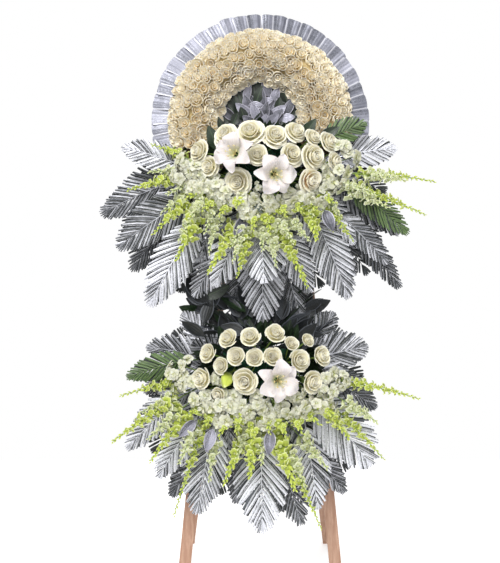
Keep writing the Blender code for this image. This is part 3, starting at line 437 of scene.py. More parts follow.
@dataclass(frozen=True)
class SprayedLeaf(Finish):
    """A leaf sprayed with silver lacquer, thicker and paler in patches, with specks of green where the spray
    missed. One half of each leaf is painted dark as shade, more on leaves of low tint, and its edges get a
    painted highlight.
    """

    name: str
    paint: str
    thin_paint: str
    # edge: the pale colour mixed into each leaf's edges, a painted highlight
    edge: str
    bare_leaf_and_shade: str
    shaded_half: float  # how dark one half of each leaf is painted, as shade
    bare_share: float
    ribs: float  # ridges across one leaf, 1.5 to 2 mm apart on the real one
    metallic: float = 0.35
    roughness: float = 0.42
    cloud: float = 45.0  # thick coats to the metre, 22 mm apart
    speckle: float = 420.0  # to the metre, 2.4 mm apart, coarser than real spray dust, too fine to be seen
    slot: str = "silver_leaf"

    def wire(self, nodes: Nodes, shader: bpy.types.Node) -> None:
        """Adds the nodes that feed the shader."""
        across, _, tint = nodes.form()
        drift, speckle = nodes.noise(self.cloud, 3.0), nodes.noise(self.speckle, 2.0)
        thick = nodes.ramp(nodes.math("ADD", tint, drift), 0.45, 1.35)
        silver = nodes.mix(thick, self.thin_paint, self.paint)
        off_middle = nodes.math("SUBTRACT", across, 0.5)
        # Painted highlight: the leaf's edges are mixed towards the pale edge colour.
        edge_highlight_mask = nodes.ramp(nodes.math("ABSOLUTE", off_middle), 0.40, 0.50, end=0.75)
        # Painted shade: one half of each leaf, across its fold, is mixed towards the dark leaf colour, the
        # more so the lower the leaf's tint.
        half_in_shade = nodes.ramp(off_middle, -0.06, 0.12, end=self.shaded_half)
        half_in_shade = nodes.math("MULTIPLY", half_in_shade, nodes.ramp(tint, start=1.0, end=0.25))
        worn_and_shaded = nodes.math("SUBTRACT", nodes.math("ADD", half_in_shade, speckle), edge_highlight_mask)
        bare_and_shaded = nodes.ramp(worn_and_shaded, 1.0 - self.bare_share, 1.3 - self.bare_share)
        ridge = nodes.math("SINE", nodes.wave(across, self.ribs))
        nodes.feed(
            shader, (nodes.math("MULTIPLY_ADD", speckle, 0.8, ridge), 0.55, 0.0004),
            Base_Color=nodes.mix(bare_and_shaded, nodes.mix(edge_highlight_mask, silver, self.edge), self.bare_leaf_and_shade),
            Metallic=nodes.ramp(bare_and_shaded, start=self.metallic, end=0.0),
            Roughness=nodes.ramp(speckle, 0.3, 0.7, self.roughness - 0.08, self.roughness + 0.14),
        )


@dataclass(frozen=True)
class LivingLeaf(Finish):
    """A fresh waxy leaf, grown: a paler midrib, side veins that run towards the tip, and a soft shine."""

    name: str
    dark: str
    light: str
    rib: str
    veins: float  # pairs of side veins along one leaf
    roughness: float = 0.38
    cloud: float = 60.0  # darker places to the metre, 17 mm apart
    slot: str = "green_leaf"

    def wire(self, nodes: Nodes, shader: bpy.types.Node) -> None:
        """Adds the nodes that feed the shader."""
        across, along, tint = nodes.form()
        drift = nodes.noise(self.cloud, 3.0)
        green = nodes.mix(nodes.ramp(nodes.math("ADD", tint, drift), 0.4, 1.5), self.dark, self.light)
        apart = nodes.math("ABSOLUTE", nodes.math("SUBTRACT", across, 0.5))
        swept = nodes.math("MULTIPLY_ADD", apart, -0.45, along)
        vein = nodes.math("SINE", nodes.wave(swept, self.veins))
        middle = nodes.ramp(apart, 0.05, 0.015, end=0.8)
        lines = nodes.math("MAXIMUM", nodes.ramp(vein, 0.80, 1.0, end=0.35), middle)
        nodes.feed(
            shader, (lines, 0.5, 0.0005),
            Base_Color=nodes.mix(lines, green, self.rib),
            Roughness=nodes.ramp(drift, 0.3, 0.7, self.roughness, self.roughness + 0.15),
        )


@dataclass(frozen=True)
class Petal(Finish):
    """A soft petal: light passes into it, its foot is deeper in colour, partly its own and partly painted
    shade, its lip is paler, partly its own and partly a painted highlight, and fine veins run to its lip.
    """

    name: str
    slot: str
    # foot: the colour at the petal's foot, partly its own and partly painted shade
    foot: str
    face: str
    # lip: the paler colour at its lip, partly its own and partly a painted highlight
    lip: str
    blush: str  # the foot's colour in the flowers with the highest tint
    foot_end: float = 0.55  # how far along the petal its foot's colour fades out
    veins: float = 14.0  # veins across one petal
    roughness: float = 0.55
    depth: float = 0.004  # how far light travels in it, in metres
    cloud: float = 70.0  # deeper places to the metre, 14 mm apart

    def wire(self, nodes: Nodes, shader: bpy.types.Node) -> None:
        """Adds the nodes that feed the shader."""
        across, along, tint = nodes.form()
        drift = nodes.noise(self.cloud, 3.0)
        # Towards the foot the colour deepens: partly the petal's own, partly painted shade.
        foot = nodes.mix(nodes.ramp(tint, 0.78, 0.95), self.foot, self.blush)
        risen = nodes.math("MULTIPLY_ADD", drift, 0.3, along)
        own = nodes.ramp(tint, 0.1, 0.7, 0.80, 1.0)
        body = nodes.mix(nodes.ramp(risen, 0.15, self.foot_end + 0.15, end=own), foot, self.face)
        # The paler lip is partly the petal's own colour and partly a painted highlight.
        petal = nodes.mix(nodes.ramp(along, 0.80, 1.0, end=own), body, self.lip)
        vein = nodes.math("SINE", nodes.math("MULTIPLY_ADD", drift, 6.0, nodes.wave(across, self.veins)))
        colour = nodes.mix(nodes.ramp(vein, 0.6, 1.0, end=0.16), petal, foot, "MULTIPLY")
        nodes.feed(shader, (vein, 0.35, 0.0004), Base_Color=colour)
        shader.inputs["Roughness"].default_value = self.roughness
        shader.inputs["Subsurface Weight"].default_value = 0.35
        shader.inputs["Subsurface Radius"].default_value = (1.0, 0.85, 0.6)
        shader.inputs["Subsurface Scale"].default_value = self.depth
        shader.inputs["Sheen Weight"].default_value = 0.15


class Grain(Enum):
    """Which way the grain of a timber runs: its pattern is twenty times as long along that axis."""

    UPRIGHT = (1.0, 1.0, 0.05)
    LEVEL = (0.05, 1.0, 1.0)
    DEEP = (1.0, 0.05, 1.0)


@dataclass(frozen=True)
class PlanedPine(Finish):
    """Cheap pine, planed by machine: pinkish bands of summer wood, fine fibres, dirt and no varnish."""

    grain: Grain
    slot: str = "timber"
    spring_wood: str = "#BB9882"
    summer_wood: str = "#A27B65"
    fibre: str = "#86624F"
    dirt: str = "#917362"
    band: float = 96.0  # bands to the metre, 10.4 mm apart
    pore: float = 960.0  # to the metre, 1 mm apart, coarser than real fibres, too fine to be seen
    stain: float = 5.0  # handling marks to the metre, 200 mm apart

    @property
    def name(self) -> str:
        """The material's name."""
        return f"planed_pine_{self.grain.name.lower()}"

    def wire(self, nodes: Nodes, shader: bpy.types.Node) -> None:
        """Adds the nodes that feed the shader."""
        laid = nodes.add("Mapping", {"Vector": nodes.place, "Scale": self.grain.value})
        bands = nodes.noise(self.band, 4.0, laid, Distortion=0.6)
        fibres = nodes.noise(self.pore, 3.0, laid, Roughness=0.7)
        wood = nodes.mix(nodes.ramp(bands, 0.35, 0.62), self.spring_wood, self.summer_wood)
        wood = nodes.mix(nodes.ramp(fibres, 0.45, 0.75, end=0.35), wood, self.fibre)
        wood = nodes.mix(nodes.ramp(nodes.noise(self.stain, 2.0), 0.45, 0.75, end=0.30), wood, self.dirt)
        rough = nodes.ramp(fibres, start=0.55, end=0.80)
        nodes.feed(shader, (fibres, 0.5, 0.0006), Base_Color=wood, Roughness=rough)


@dataclass(frozen=True)
class Grained(Finish):
    """A dull material of grains or cells: two colours mixed by grains of one size, with pits as large."""

    name: str
    first: str
    second: str
    grain_size: float  # in mm
    roughness: float
    relief: float  # depth of the pits, in metres
    slot: str = ""
    glow: float = 0.0  # light of its own, for a studio floor lit from below
    cloud: float = 14.0  # darker places to the metre, 71 mm apart

    def wire(self, nodes: Nodes, shader: bpy.types.Node) -> None:
        """Adds the nodes that feed the shader."""
        grains = nodes.noise(1000.0 / self.grain_size, 4.0, Roughness=0.65)
        both = nodes.math("MULTIPLY_ADD", nodes.noise(self.cloud, 2.0), 0.5, grains)
        nodes.feed(
            shader, (grains, 0.6, self.relief),
            Base_Color=nodes.mix(nodes.ramp(both, 0.55, 0.95), self.first, self.second),
            Roughness=nodes.ramp(grains, start=self.roughness - 0.08, end=self.roughness + 0.08),
        )
        shader.inputs["Emission Strength"].default_value = self.glow


SILVER_PALM = SprayedLeaf(
    "silver_lacquer_sprayed_on_palm", "#E2E3EB", "#4E5157", "#F4F4F8", "#101712", 0.62, 0.42, 3.0
)
# A darker copy of the palm silver: painted shade, for the fronds behind the others.
SHADE_SILVER_PALM = SprayedLeaf(
    "silver_lacquer_with_painted_shade_on_palm", "#5E6268", "#23282A", "#888C94", "#0F1610", 0.80, 0.55, 3.0, 0.2, 0.5
)
SILVER_RIM = SprayedLeaf(
    "silver_lacquer_sprayed_on_rim_leaf", "#9C9DAA", "#666873", "#E2E2E9", "#31353B", 0.20, 0.42, 5.0, 0.25
)
SILVER_BROAD = SprayedLeaf(
    "silver_lacquer_sprayed_on_broad_leaf", "#9A99A7", "#25272C", "#C0BECB", "#161C1A", 0.22, 0.46, 5.0
)
# A darker copy of the broad leaf silver: painted shade, for the leaves between the tiers.
SHADE_SILVER_BROAD = SprayedLeaf(
    "silver_lacquer_with_painted_shade_on_broad_leaf", "#363A40", "#111416", "#62666E", "#0A0E0C", 0.35, 0.55, 5.0, 0.15,
    0.5,
)
FRESH_PALM = LivingLeaf("fresh_palm_leaf_grown", "#1E301B", "#4E6837", "#8CA062", 2.0)
# Its dark end, near black, is the leaf's own dark green and painted shade in the gaps between flowers.
EVERGREEN = LivingLeaf("evergreen_leaf_grown", "#0A120C", "#1C3019", "#3A5030", 7.0, 0.34)
STEM = LivingLeaf("cut_green_stem_grown", "#4A6428", "#8AA44E", "#A0B868", 1.0, 0.5)
CREAM_ROSE = Petal(
    "cream_rose_petal_grown", "cream_petal", "#F4D8A2", "#FFF4D4", "#FFFBF0", "#F4D2A4", 0.42
)
IVORY_ROSE = Petal(
    "ivory_rose_petal_grown", "white_petal", "#DCD29E", "#EBE5CA", "#F2EEDE", "#EDB97E", 0.48
)
LILY = Petal(
    "white_lily_tepal_grown", "lily_petal", "#C0C790", "#D8CFD2", "#E2DCDF", "#C8CF98", 0.25, 8.0
)
SMALL_WHITE = Petal(
    "small_white_petal_grown", "small_white", "#ACB164", "#D2D1BC", "#E2E1D4", "#BABF70", 0.42, 6.0
)
LIME_FLORET = Petal(
    "lime_snapdragon_floret_grown", "lime_bud", "#85962C", "#BAC750", "#DDE3A6", "#AAB848", 0.55, 5.0
)
PALE_FLORET = Petal(
    "pale_snapdragon_floret_grown", "lime_bud", "#94A04E", "#C9CFA0", "#E4E6D0", "#BCC676", 0.50, 5.0
)
POLLEN = Grained("lily_pollen_grown", "#C0AE6C", "#DDD2A0", 1.0, 0.85, 0.0003, "lily_petal")
# The bed under the arch's roses: its tan is painted shade in the gaps between them.
PAINTED_SHADE_BED = Grained("rose_bed_in_painted_shade", "#8A7A50", "#C8B486", 6.0, 0.80, 0.0030, "cream_petal")
HARDBOARD = Grained("pressed_hardboard", "#5A4430", "#7C614A", 2.0, 0.78, 0.0003)
WET_FOAM = Grained("phenolic_flower_foam_cut", "#0F3322", "#20543A", 1.2, 0.95, 0.0006)
TRAY_PLASTIC = Grained("black_polypropylene_moulded", "#0B0C0D", "#17181A", 0.9, 0.45, 0.00008)
STUDIO_FLOOR = Grained("studio_floor_painted", "#FAFAFA", "#FFFFFF", 20.0, 0.85, 0.0001, glow=0.42)


class Face(Enum):
    """A face of the foam block, with its outward direction."""

    FRONT = (0, -1, 0)
    BOTTOM = (0, 0, -1)
    TOP = (0, 0, 1)
    LEFT = (-1, 0, 0)
    RIGHT = (1, 0, 0)


@dataclass(frozen=True)
class Hub:
    """Where a bundle of stems goes into the foam: the face's name, and the place on it in cm.

    `across` runs along Z on the side faces and along X on the others; `along` is Z on the front face, and on
    the others the depth from the seat plane.
    """

    face: str
    across: float
    along: float

    def outward(self) -> Array:
        """The face's outward direction."""
        return np.array(Face[self.face.upper()].value, float)

    def mouth(self) -> Array:
        """The point where the bundle meets the foam's face."""
        half = FOAM / 2
        if self.face == "front":
            return np.array((self.across * CM, FOAM_FRONT, self.along * CM))
        if self.face in ("bottom", "top"):
            return np.array((self.across * CM, self.along * CM, half[2] * self.outward()[2]))
        return np.array((half[0] * self.outward()[0], self.along * CM, self.across * CM))

    def starts(self, goals: Sequence[Array]) -> list[Array]:
        """Where the stems leave the bundle: the most sideways stem next to the foam, and so on out.

        Args:
            goals: The place that each stem goes to.

        Returns:
            The place where each stem starts.
        """
        outward = self.outward()
        steepness = [float(unit(goal - self.mouth()) @ outward) for goal in goals]
        order = sorted(range(len(goals)), key=lambda number: steepness[number])
        points = [self.mouth()] * len(goals)
        for step, number in enumerate(order):
            middle = self.mouth() + outward * (PEG_HEAD / 2 + BRANCH_STEP * step)
            across = goals[number] - middle
            across = across - outward * (across @ outward)
            points[number] = middle + unit(across) * PEG_RADIUS * 0.3
        return points

    def bundle(self, stems: Draft, count: int) -> None:
        """Draws the cut stems that stand in the foam and reach out as far as the last of `count` stems."""
        reach = PEG_HEAD + BRANCH_STEP * (count - 1)
        ends = np.array((-PEG_DEPTH, 0.0, reach))[:, None] * self.outward() + self.mouth()
        stems.tube(ends, PEG_RADIUS * np.array((0.92, 0.92, 0.68)), 7, 0.4)


@dataclass(frozen=True)
class Frond:
    """A palm frond: its tip in cm from the foam's middle (x, depth, z), and its blade's length and width.

    `paint` scales its tint, and so how pale and how fully silver it is drawn, against the others at its
    depth.
    """

    tip: tuple[float, float, float]
    length: float
    width: float
    paint: float = 1.0


@dataclass(frozen=True)
class Spike:
    """A snapdragon spike: its tip in cm from the foam's middle (x, depth, z), flowered length and girth."""

    tip: tuple[float, float, float]
    length: float
    girth: float


@dataclass(frozen=True)
class Bloom:
    """A flower head: its middle in cm from the foam's middle, its radius in cm, and how far forward it is."""

    x: float
    z: float
    radius: float
    forward: float = 0.0

    def axes(self) -> Axes:
        """Where the head sits on the dome of flowers, and which way it faces."""
        x, z = self.x * CM, self.z * CM
        middle = np.array((x, dome(x, z) - self.forward * CM, z))
        return Axes.facing(middle, unit(np.array((1.1 * x, -0.24, 1.1 * z))))


@dataclass(frozen=True)
class Leaf:
    """A broad leaf: root and tip in cm from the foam's middle (x, depth, z), and its width."""

    root: tuple[float, float, float]
    tip: tuple[float, float, float]
    width: float


def bunch(kind: type, face: str, across: float, along: float, items: Sequence[tuple]) -> tuple[Hub, tuple]:
    """A bunch: the hub that its stems stand in, and its items, each made from its own numbers."""
    return Hub(face, across, along), tuple(kind(*numbers) for numbers in items)


def bunches(kind: type, places: dict[str, tuple]) -> dict[str, tuple[Hub, tuple]]:
    """Bunches of one kind, by the names of their places."""
    return {name: bunch(kind, *place) for name, place in places.items()}


UPPER_FRONDS = bunches(Frond, {
    "back_left": ("left", 1, -4.5, (
        ((-52.5, -10, -14.5), 32, 14, 0.3), ((-43, -6, -33), 28, 14, 0.15),
    )),
    "back_bottom": ("bottom", 0, -4.5, (
        ((-22, -9, -42), 27, 13), ((-9.5, -5.5, -47), 25, 10), ((1, -9.5, -50.5), 29, 16),
        ((13.5, -6, -48.5), 27, 13),
    )),
    "back_right": ("right", 1, -4.5, (
        ((45, -8, 7.5), 20, 11, 1.3), ((46, -9.5, -21), 25, 10, 0.3), ((46.5, -6.5, -39), 28, 9, 0.3),
        ((31, -9, -35), 24, 11, 0.6),
    )),
    "front_left": ("left", -4.5, -7.5, (
        ((-44.5, -16.5, 6.5), 21, 10), ((-46.5, -15.5, -26), 28, 14, 0.3), ((-36, -16.5, -45), 30, 14),
    )),
    "front_bottom": ("bottom", 0, -7.5, (
        ((-15, -14.5, -38.5), 23, 13), ((1, -19.5, -37.5), 22, 17), ((16.5, -14, -40.5), 23, 11),
    )),
    "front_right": ("right", -4.5, -7.5, (
        ((28.5, -17, -42.5), 27, 13), ((41.5, -14, -31), 23, 8, 0.5),
    )),
})
LOWER_FRONDS = bunches(Frond, {
    "back_left": ("left", 2, -4.5, (
        ((-25.5, -6, 19.5), 18, 10, 2.2), ((-37, -9.5, 8.5), 21, 11, 1.5), ((-38.5, -6, -6.5), 22, 10),
        ((-44, -9.5, -25), 27, 12),
    )),
    "back_bottom": ("bottom", 0, -4.5, (
        ((-30, -6, -41), 26, 12), ((-8.5, -6, -43.5), 24, 11), ((13.5, -9, -50), 28, 14),
        ((28, -6, -40), 24, 11),
    )),
    "back_right": ("right", 2, -4.5, (
        ((24.5, -6, 19.5), 18, 10), ((35, -9.5, 8.5), 22, 14, 1.6), ((38.5, -6, -12), 23, 12),
    )),
    "front_left": ("left", -4.5, -7.5, (
        ((-33, -15.5, -33.5), 24, 12), ((-20.5, -16.5, -45), 27, 15),
    )),
    "front_bottom": ("bottom", 0, -7.5, (
        ((0.5, -18.5, -50.5), 30, 18),
    )),
    "front_right": ("right", -4.5, -7.5, (
        ((35.5, -17.5, -29.5), 27, 19), ((18.5, -14, -44), 25, 13),
    )),
})
UPPER_GREEN_FRONDS = bunch(Frond, "right", 5, -7.5, (
    ((47.5, -18, -21.5), 25, 9), ((34.5, -13, 15), 16, 9),
))
LOWER_GREEN_FRONDS = bunch(Frond, "left", 5, -7.5, (
    ((-43, -15.5, -1), 21, 9),
))
UPPER_SPIKES = bunches(Spike, {
    "left": ("left", -1.5, -10.5, (
        ((-35, -17, 7.5), 13, 1.9), ((-42, -21, -7.5), 21, 2.3), ((-34, -24.5, -22), 17, 2.3),
        ((-26.5, -25, -30), 17, 2.9),
    )),
    "bottom": ("bottom", 0, -10.5, (
        ((-16.5, -25.5, -34), 20, 2.8), ((-7.5, -26, -35.5), 17, 2.2), ((14.5, -26, -38.5), 24, 2.6),
    )),
    "right": ("right", -1.5, -10.5, (
        ((17.5, -26.5, -23.5), 15, 3), ((29, -25, -24), 17, 1.8), ((52, -25, -16), 25, 1.9),
        ((54.5, -26, -5.5), 26, 1.9),
    )),
})
LOWER_SPIKES = bunches(Spike, {
    "left": ("left", -1.5, -10.5, (
        ((-44.5, -19, -6.5), 19, 2), ((-46.5, -24, -20.5), 25, 2.4), ((-34.5, -24.5, -26.5), 19, 2.4),
        ((-27, -25, -43), 30, 1.9),
    )),
    "bottom": ("bottom", 0, -10.5, (
        ((-11.5, -24.5, -33.5), 20, 2.8), ((-3.5, -27, -31), 17, 3.1), ((10.5, -26, -35), 21, 3.3),
        ((19, -22, -48), 26, 1.8),
    )),
    "right": ("right", -1.5, -10.5, (
        ((27.5, -26, -19.5), 14, 2.4), ((38.5, -24, -26), 20, 1.8), ((49.5, -25, -7), 27, 2),
    )),
})
UPPER_ROSES = bunches(Bloom, {
    "left": ("front", -7.5, 3.5, (
        (-11.5, 9.5, 3.5), (-20, 4.5, 3.1), (-16.5, -0.5, 3), (-7.4, -5.6, 3.8),
    )),
    "middle": ("front", 1.5, 5.5, (
        (-3.4, 10.5, 4), (4.6, 9.2, 3.5), (11.2, 10.6, 3.1), (-1, 3, 3),
    )),
    "right": ("front", 7.5, 1.5, (
        (10, 3.2, 3.4), (17, 2.6, 3.7), (16.2, -5, 3.6), (22, 7.8, 2.9), (16.8, 9, 2.4), (24, 1.4, 2.6),
    )),
})
LOWER_ROSES = bunches(Bloom, {
    "left": ("front", -7.5, 3.5, (
        (-16.8, 7.4, 3), (-10.4, 12, 3.1), (-12.6, 3.4, 2.7), (-18.8, -0.6, 3.5), (-13.4, -5.6, 2.4),
    )),
    "middle": ("front", 0, 5.5, (
        (-3.4, 12.6, 3.2), (-7.8, 6.4, 2.9), (-2, 6, 2.8), (3.6, 6.4, 3), (-5, -1.4, 4.1), (4.6, 13.6, 3.2),
    )),
    "right": ("front", 7.5, 3.5, (
        (9.6, 10.4, 2.3), (12.2, 5, 3.5), (14.8, 11.4, 2.2), (19.2, 6.4, 3.3), (16.2, -1.8, 3.6),
    )),
})
UPPER_LILIES = bunch(Bloom, "front", -1.5, 1.5, (
    (-8.6, 3.2, 6.6, 2.6), (4.4, -3.6, 6.8, 2.6),
))
LOWER_LILIES = bunch(Bloom, "front", 1.5, -0.5, (
    (5.4, -1, 6.8, 2.8),
))
UPPER_SMALL_WHITES = bunches(Bloom, {
    "left": ("front", -8.6, -3.6, (
        (-25.4, 2.2, 2.4), (-22.4, -1.8, 2.6), (-21.4, -6.8, 2.5), (-16.4, -7, 2.6), (-12.6, -10.6, 2.8),
        (-5.6, -12.4, 2.7), (-27.4, -3, 2.3),
    )),
    "right": ("front", 8.6, -3.6, (
        (26.8, 6.4, 2.6), (30.6, 3.4, 2.5), (27.4, -2.4, 2.7, 1.5), (22.6, -5.2, 2.6), (20.8, -10.2, 2.5),
        (10, -11.8, 2.8), (15.2, -10.6, 2.6), (3.4, -13.2, 2.7),
    )),
})
LOWER_SMALL_WHITES = bunches(Bloom, {
    "left": ("front", -7.5, -4.5, (
        (-24.6, 3, 2.5), (-24.4, -2.6, 2.7), (-20.8, -7.4, 2.7), (-15.4, -9.6, 2.7), (-9.6, -9, 2.8),
        (-3.6, -10.6, 2.8), (-28.8, 0.6, 2.3), (-12.2, -14, 2.4),
    )),
    "right": ("front", 7.5, -4.5, (
        (22.4, 0.8, 2.6), (22.4, -4.8, 2.7), (19.2, -9.6, 2.7), (13.8, -9.4, 2.7), (8.6, -11.6, 2.8),
        (2.4, -13.2, 2.7), (27, -1.6, 2.3),
    )),
})
UPPER_SILVER_LEAVES = bunches(Leaf, {
    "front": ("front", 4.5, -6.2, (
        ((20, -25.5, -14.4), (22.5, -27, -21), 3.8), ((-4.4, -22, -16), (-8.5, -23.5, -22), 3.6),
    )),
})
LOWER_SILVER_LEAVES = bunches(Leaf, {
    "front": ("front", -4.5, -6.8, (
        ((-15, -23.5, -16.5), (-17, -25, -23.5), 3.8), ((-20.5, -22, -14), (-25.5, -23, -19), 3.5),
        ((3, -22.5, -17), (2.5, -24.5, -24.5), 3.8),
    )),
    "top": ("top", 0, -2.6, (
        ((-12.5, -1.6, 13), (-19, -2, 20.5), 5.4), ((-5.5, -1.6, 15.5), (-8.5, -2, 25.5), 5.4),
        ((1, -1.6, 16.5), (1.5, -2, 27), 5.4), ((7, -1.6, 15), (11, -2, 24.5), 5.4),
        ((13.5, -1.6, 12), (20.5, -2, 18.5), 5.4),
    )),
})
UPPER_GREEN_LEAVES = bunch(Leaf, "front", -1.5, -5.5, (
    ((-13.6, -19.5, 5.5), (-16.8, -21, 13), 4.2), ((12.8, -20, 8.4), (17.6, -21.5, 15), 4.2),
    ((18.6, -19.5, 8.6), (25, -20.5, 12.6), 3.8), ((-2.5, -23, -9.5), (0.5, -26.5, -15.5), 3),
))
LOWER_GREEN_LEAVES = bunch(Leaf, "front", -3, 2.5, (
    ((-10.4, -21, 0.8), (-11.2, -28.5, -3), 3.4),
))
WREATH_LEAVES = tuple(Leaf(*numbers) for numbers in (
    ((-3, -1.2, 4), (-9.6, -1.8, 6.4), 3.6), ((-2.8, -2, 6.5), (-8.2, -2.8, 11.4), 3.6),
    ((-1.6, -1.2, 8.5), (-4.6, -1.8, 15.2), 3.8), ((0.4, -2, 9), (0.6, -2.8, 16.6), 3.8),
    ((2.2, -1.2, 8.2), (5.6, -1.8, 14.6), 3.8), ((3, -2, 6), (8.8, -2.8, 10.6), 3.6),
    ((3, -1.2, 3.8), (9.8, -1.8, 5.4), 3.6), ((-1.8, -3, 3.6), (-6, -4, 6.6), 3.4),
    ((-1, -3.8, 5.2), (-2.6, -4.8, 11), 3.4), ((0.8, -3, 5.4), (2.6, -4, 11.4), 3.4),
    ((2, -3.8, 3.8), (6.2, -4.8, 7.2), 3.4),
))
WREATH_LEAF_ROOT = np.array((0.0, 0.0, -0.052))
PEACH_ROSE = (16.2, -5.0)  # the one rose whose heart is peach


def tips_of(items: Sequence[Frond | Spike | Leaf]) -> list[Array]:
    """The tips of fronds, spikes or leaves, in metres."""
    return [np.array(item.tip) * CM for item in items]


def polar(distance: Array, turn: Array, height: Array) -> Array:
    """Points at a distance from the Z axis, at an angle about it and at a height."""
    distance, turn, height = np.broadcast_arrays(distance, turn, height)
    return np.stack((distance * np.cos(turn), distance * np.sin(turn), height), axis=-1)


def turned(out: Array, side: Array, up: Array, turn: float) -> Array:
    """Points that lie out from the Z axis, to the side and up, turned about that axis."""
    c, s = math.cos(turn), math.sin(turn)
    return np.stack((out * c - side * s, out * s + side * c, np.broadcast_to(up, np.shape(out))), axis=-1)


def turned_rings(profile: Sequence[tuple[float, float]], sides: int, lobes: Array | float = 1.0) -> Array:
    """The rings of a skin about the Z axis, from the heights and radii of its profile."""
    turns = np.arange(sides) * 2 * math.pi / sides
    return np.stack([polar(radius * lobes, turns, height) for height, radius in profile])


@dataclass(frozen=True)
class PetalRing:
    """One ring of a rose's petals. Lengths are shares of the head's radius."""

    count: int
    foot: tuple[float, float]  # distance from the axis and height of a petal's foot
    lip: tuple[float, float]  # distance from the axis and height of its lip
    bulge: float  # how far it bellies out below the lip
    curl: float  # how far the lip rolls outward
    spiral: float = 0.07  # how far one side stands out over the next petal, and the other is tucked in
    wrap: float = 1.45  # its width in shares of its place in the ring

    def petal(self, turn: float, chance: Chance, rows: int, columns: int) -> Array:
        """One petal's middle surface.

        Args:
            turn: The angle of its middle, about the rose's axis.
            chance: The source of its small differences.
            rows: Points along it.
            columns: Points across it.

        Returns:
            A grid of points.
        """
        along, across = leaf_grid(rows, columns)
        rise = along * (1 - 0.26 * np.abs(across) ** 3)
        opened = 0.5 + 0.5 * np.sin(np.minimum(along / 0.7, 1) * math.pi / 2)
        half = math.pi / self.count * self.wrap * opened
        lip_out, lip_up = self.lip[0] * (1 + chance.normal(0, 0.07)), self.lip[1] + chance.normal(0, 0.05)
        distance = self.foot[0] + (lip_out - self.foot[0]) * rise**0.6 + self.bulge * np.sin(math.pi * rise)
        height = self.foot[1] + (lip_up - self.foot[1]) * rise
        rolled = smooth(along, 0.66, 1.0)
        wave = 0.03 * np.sin(2.6 * across + chance.uniform(0, 2 * math.pi)) * rolled
        rolling = self.curl * rolled * (1.05 - 0.45 * across**2)
        spiral = self.spiral * across * (1 - 0.4 * across**2) * (0.35 + 0.65 * along)
        height = height - rolling * 0.75 * rolled + 0.05 * np.exp(-((across / 0.3) ** 2)) * rolled + wave
        return polar(distance + rolling + spiral + wave, turn + across * half, height)


@dataclass(frozen=True)
class RoseHead:
    """A rose head of radius one: a rolled heart in rings of petals, facing +Z."""

    rings: tuple[PetalRing, ...]
    heart: tuple[float, float, float]  # its outer distance from the axis, its foot and its top
    turns: float
    rows: int
    columns: int
    thickness: float = 0.022

    def template(self, seed: int) -> Draft:
        """One rose, to be stamped."""
        chance = np.random.default_rng(seed)
        draft = Draft()
        outer, low, high = self.heart
        rise, along = leaf_grid(4, round(9 * self.turns))
        along = along / 2 + 0.5
        distance = (0.05 + (outer - 0.05) * along) * (0.85 + 0.25 * rise - 0.10 * rise**3)
        height = low + (high - low) * rise * (0.86 + 0.14 * np.sin(math.pi * along))
        draft.sheet(polar(distance, along * self.turns * 2 * math.pi, height), self.thickness, 0.3)
        turn = chance.uniform(0, 2 * math.pi)
        for ring in self.rings:
            for number in range(ring.count):
                middle = turn + 2 * math.pi * number / ring.count + chance.normal(0, 0.06)
                grid = ring.petal(middle, chance, self.rows, self.columns)
                draft.sheet(grid, self.thickness, chance.uniform(0.2, 0.8))
            turn += math.pi / ring.count + chance.uniform(0.2, 0.5)
        return draft


PACKED_ROSE = RoseHead(
    rings=(
        PetalRing(4, (0.24, 0.15), (0.42, 1.04), 0.10, 0.06, 0.03),
        PetalRing(5, (0.36, -0.25), (0.72, 0.96), 0.24, 0.15, 0.03, 1.6),
    ),
    heart=(0.22, 0.40, 1.00), turns=1.5, rows=6, columns=4,
)
OPEN_ROSE = RoseHead(
    rings=(
        PetalRing(3, (0.14, -0.30), (0.24, 0.46), 0.05, 0.03, 0.04),
        PetalRing(3, (0.17, -0.40), (0.40, 0.45), 0.08, 0.06, 0.06, 1.6),
        PetalRing(4, (0.20, -0.50), (0.60, 0.35), 0.13, 0.12, 0.08),
        PetalRing(5, (0.24, -0.60), (0.82, 0.14), 0.16, 0.20, 0.10),
        PetalRing(5, (0.28, -0.72), (0.93, -0.14), 0.16, 0.28, 0.10),
    ),
    heart=(0.17, -0.20, 0.44), turns=1.8, rows=6, columns=6,
)


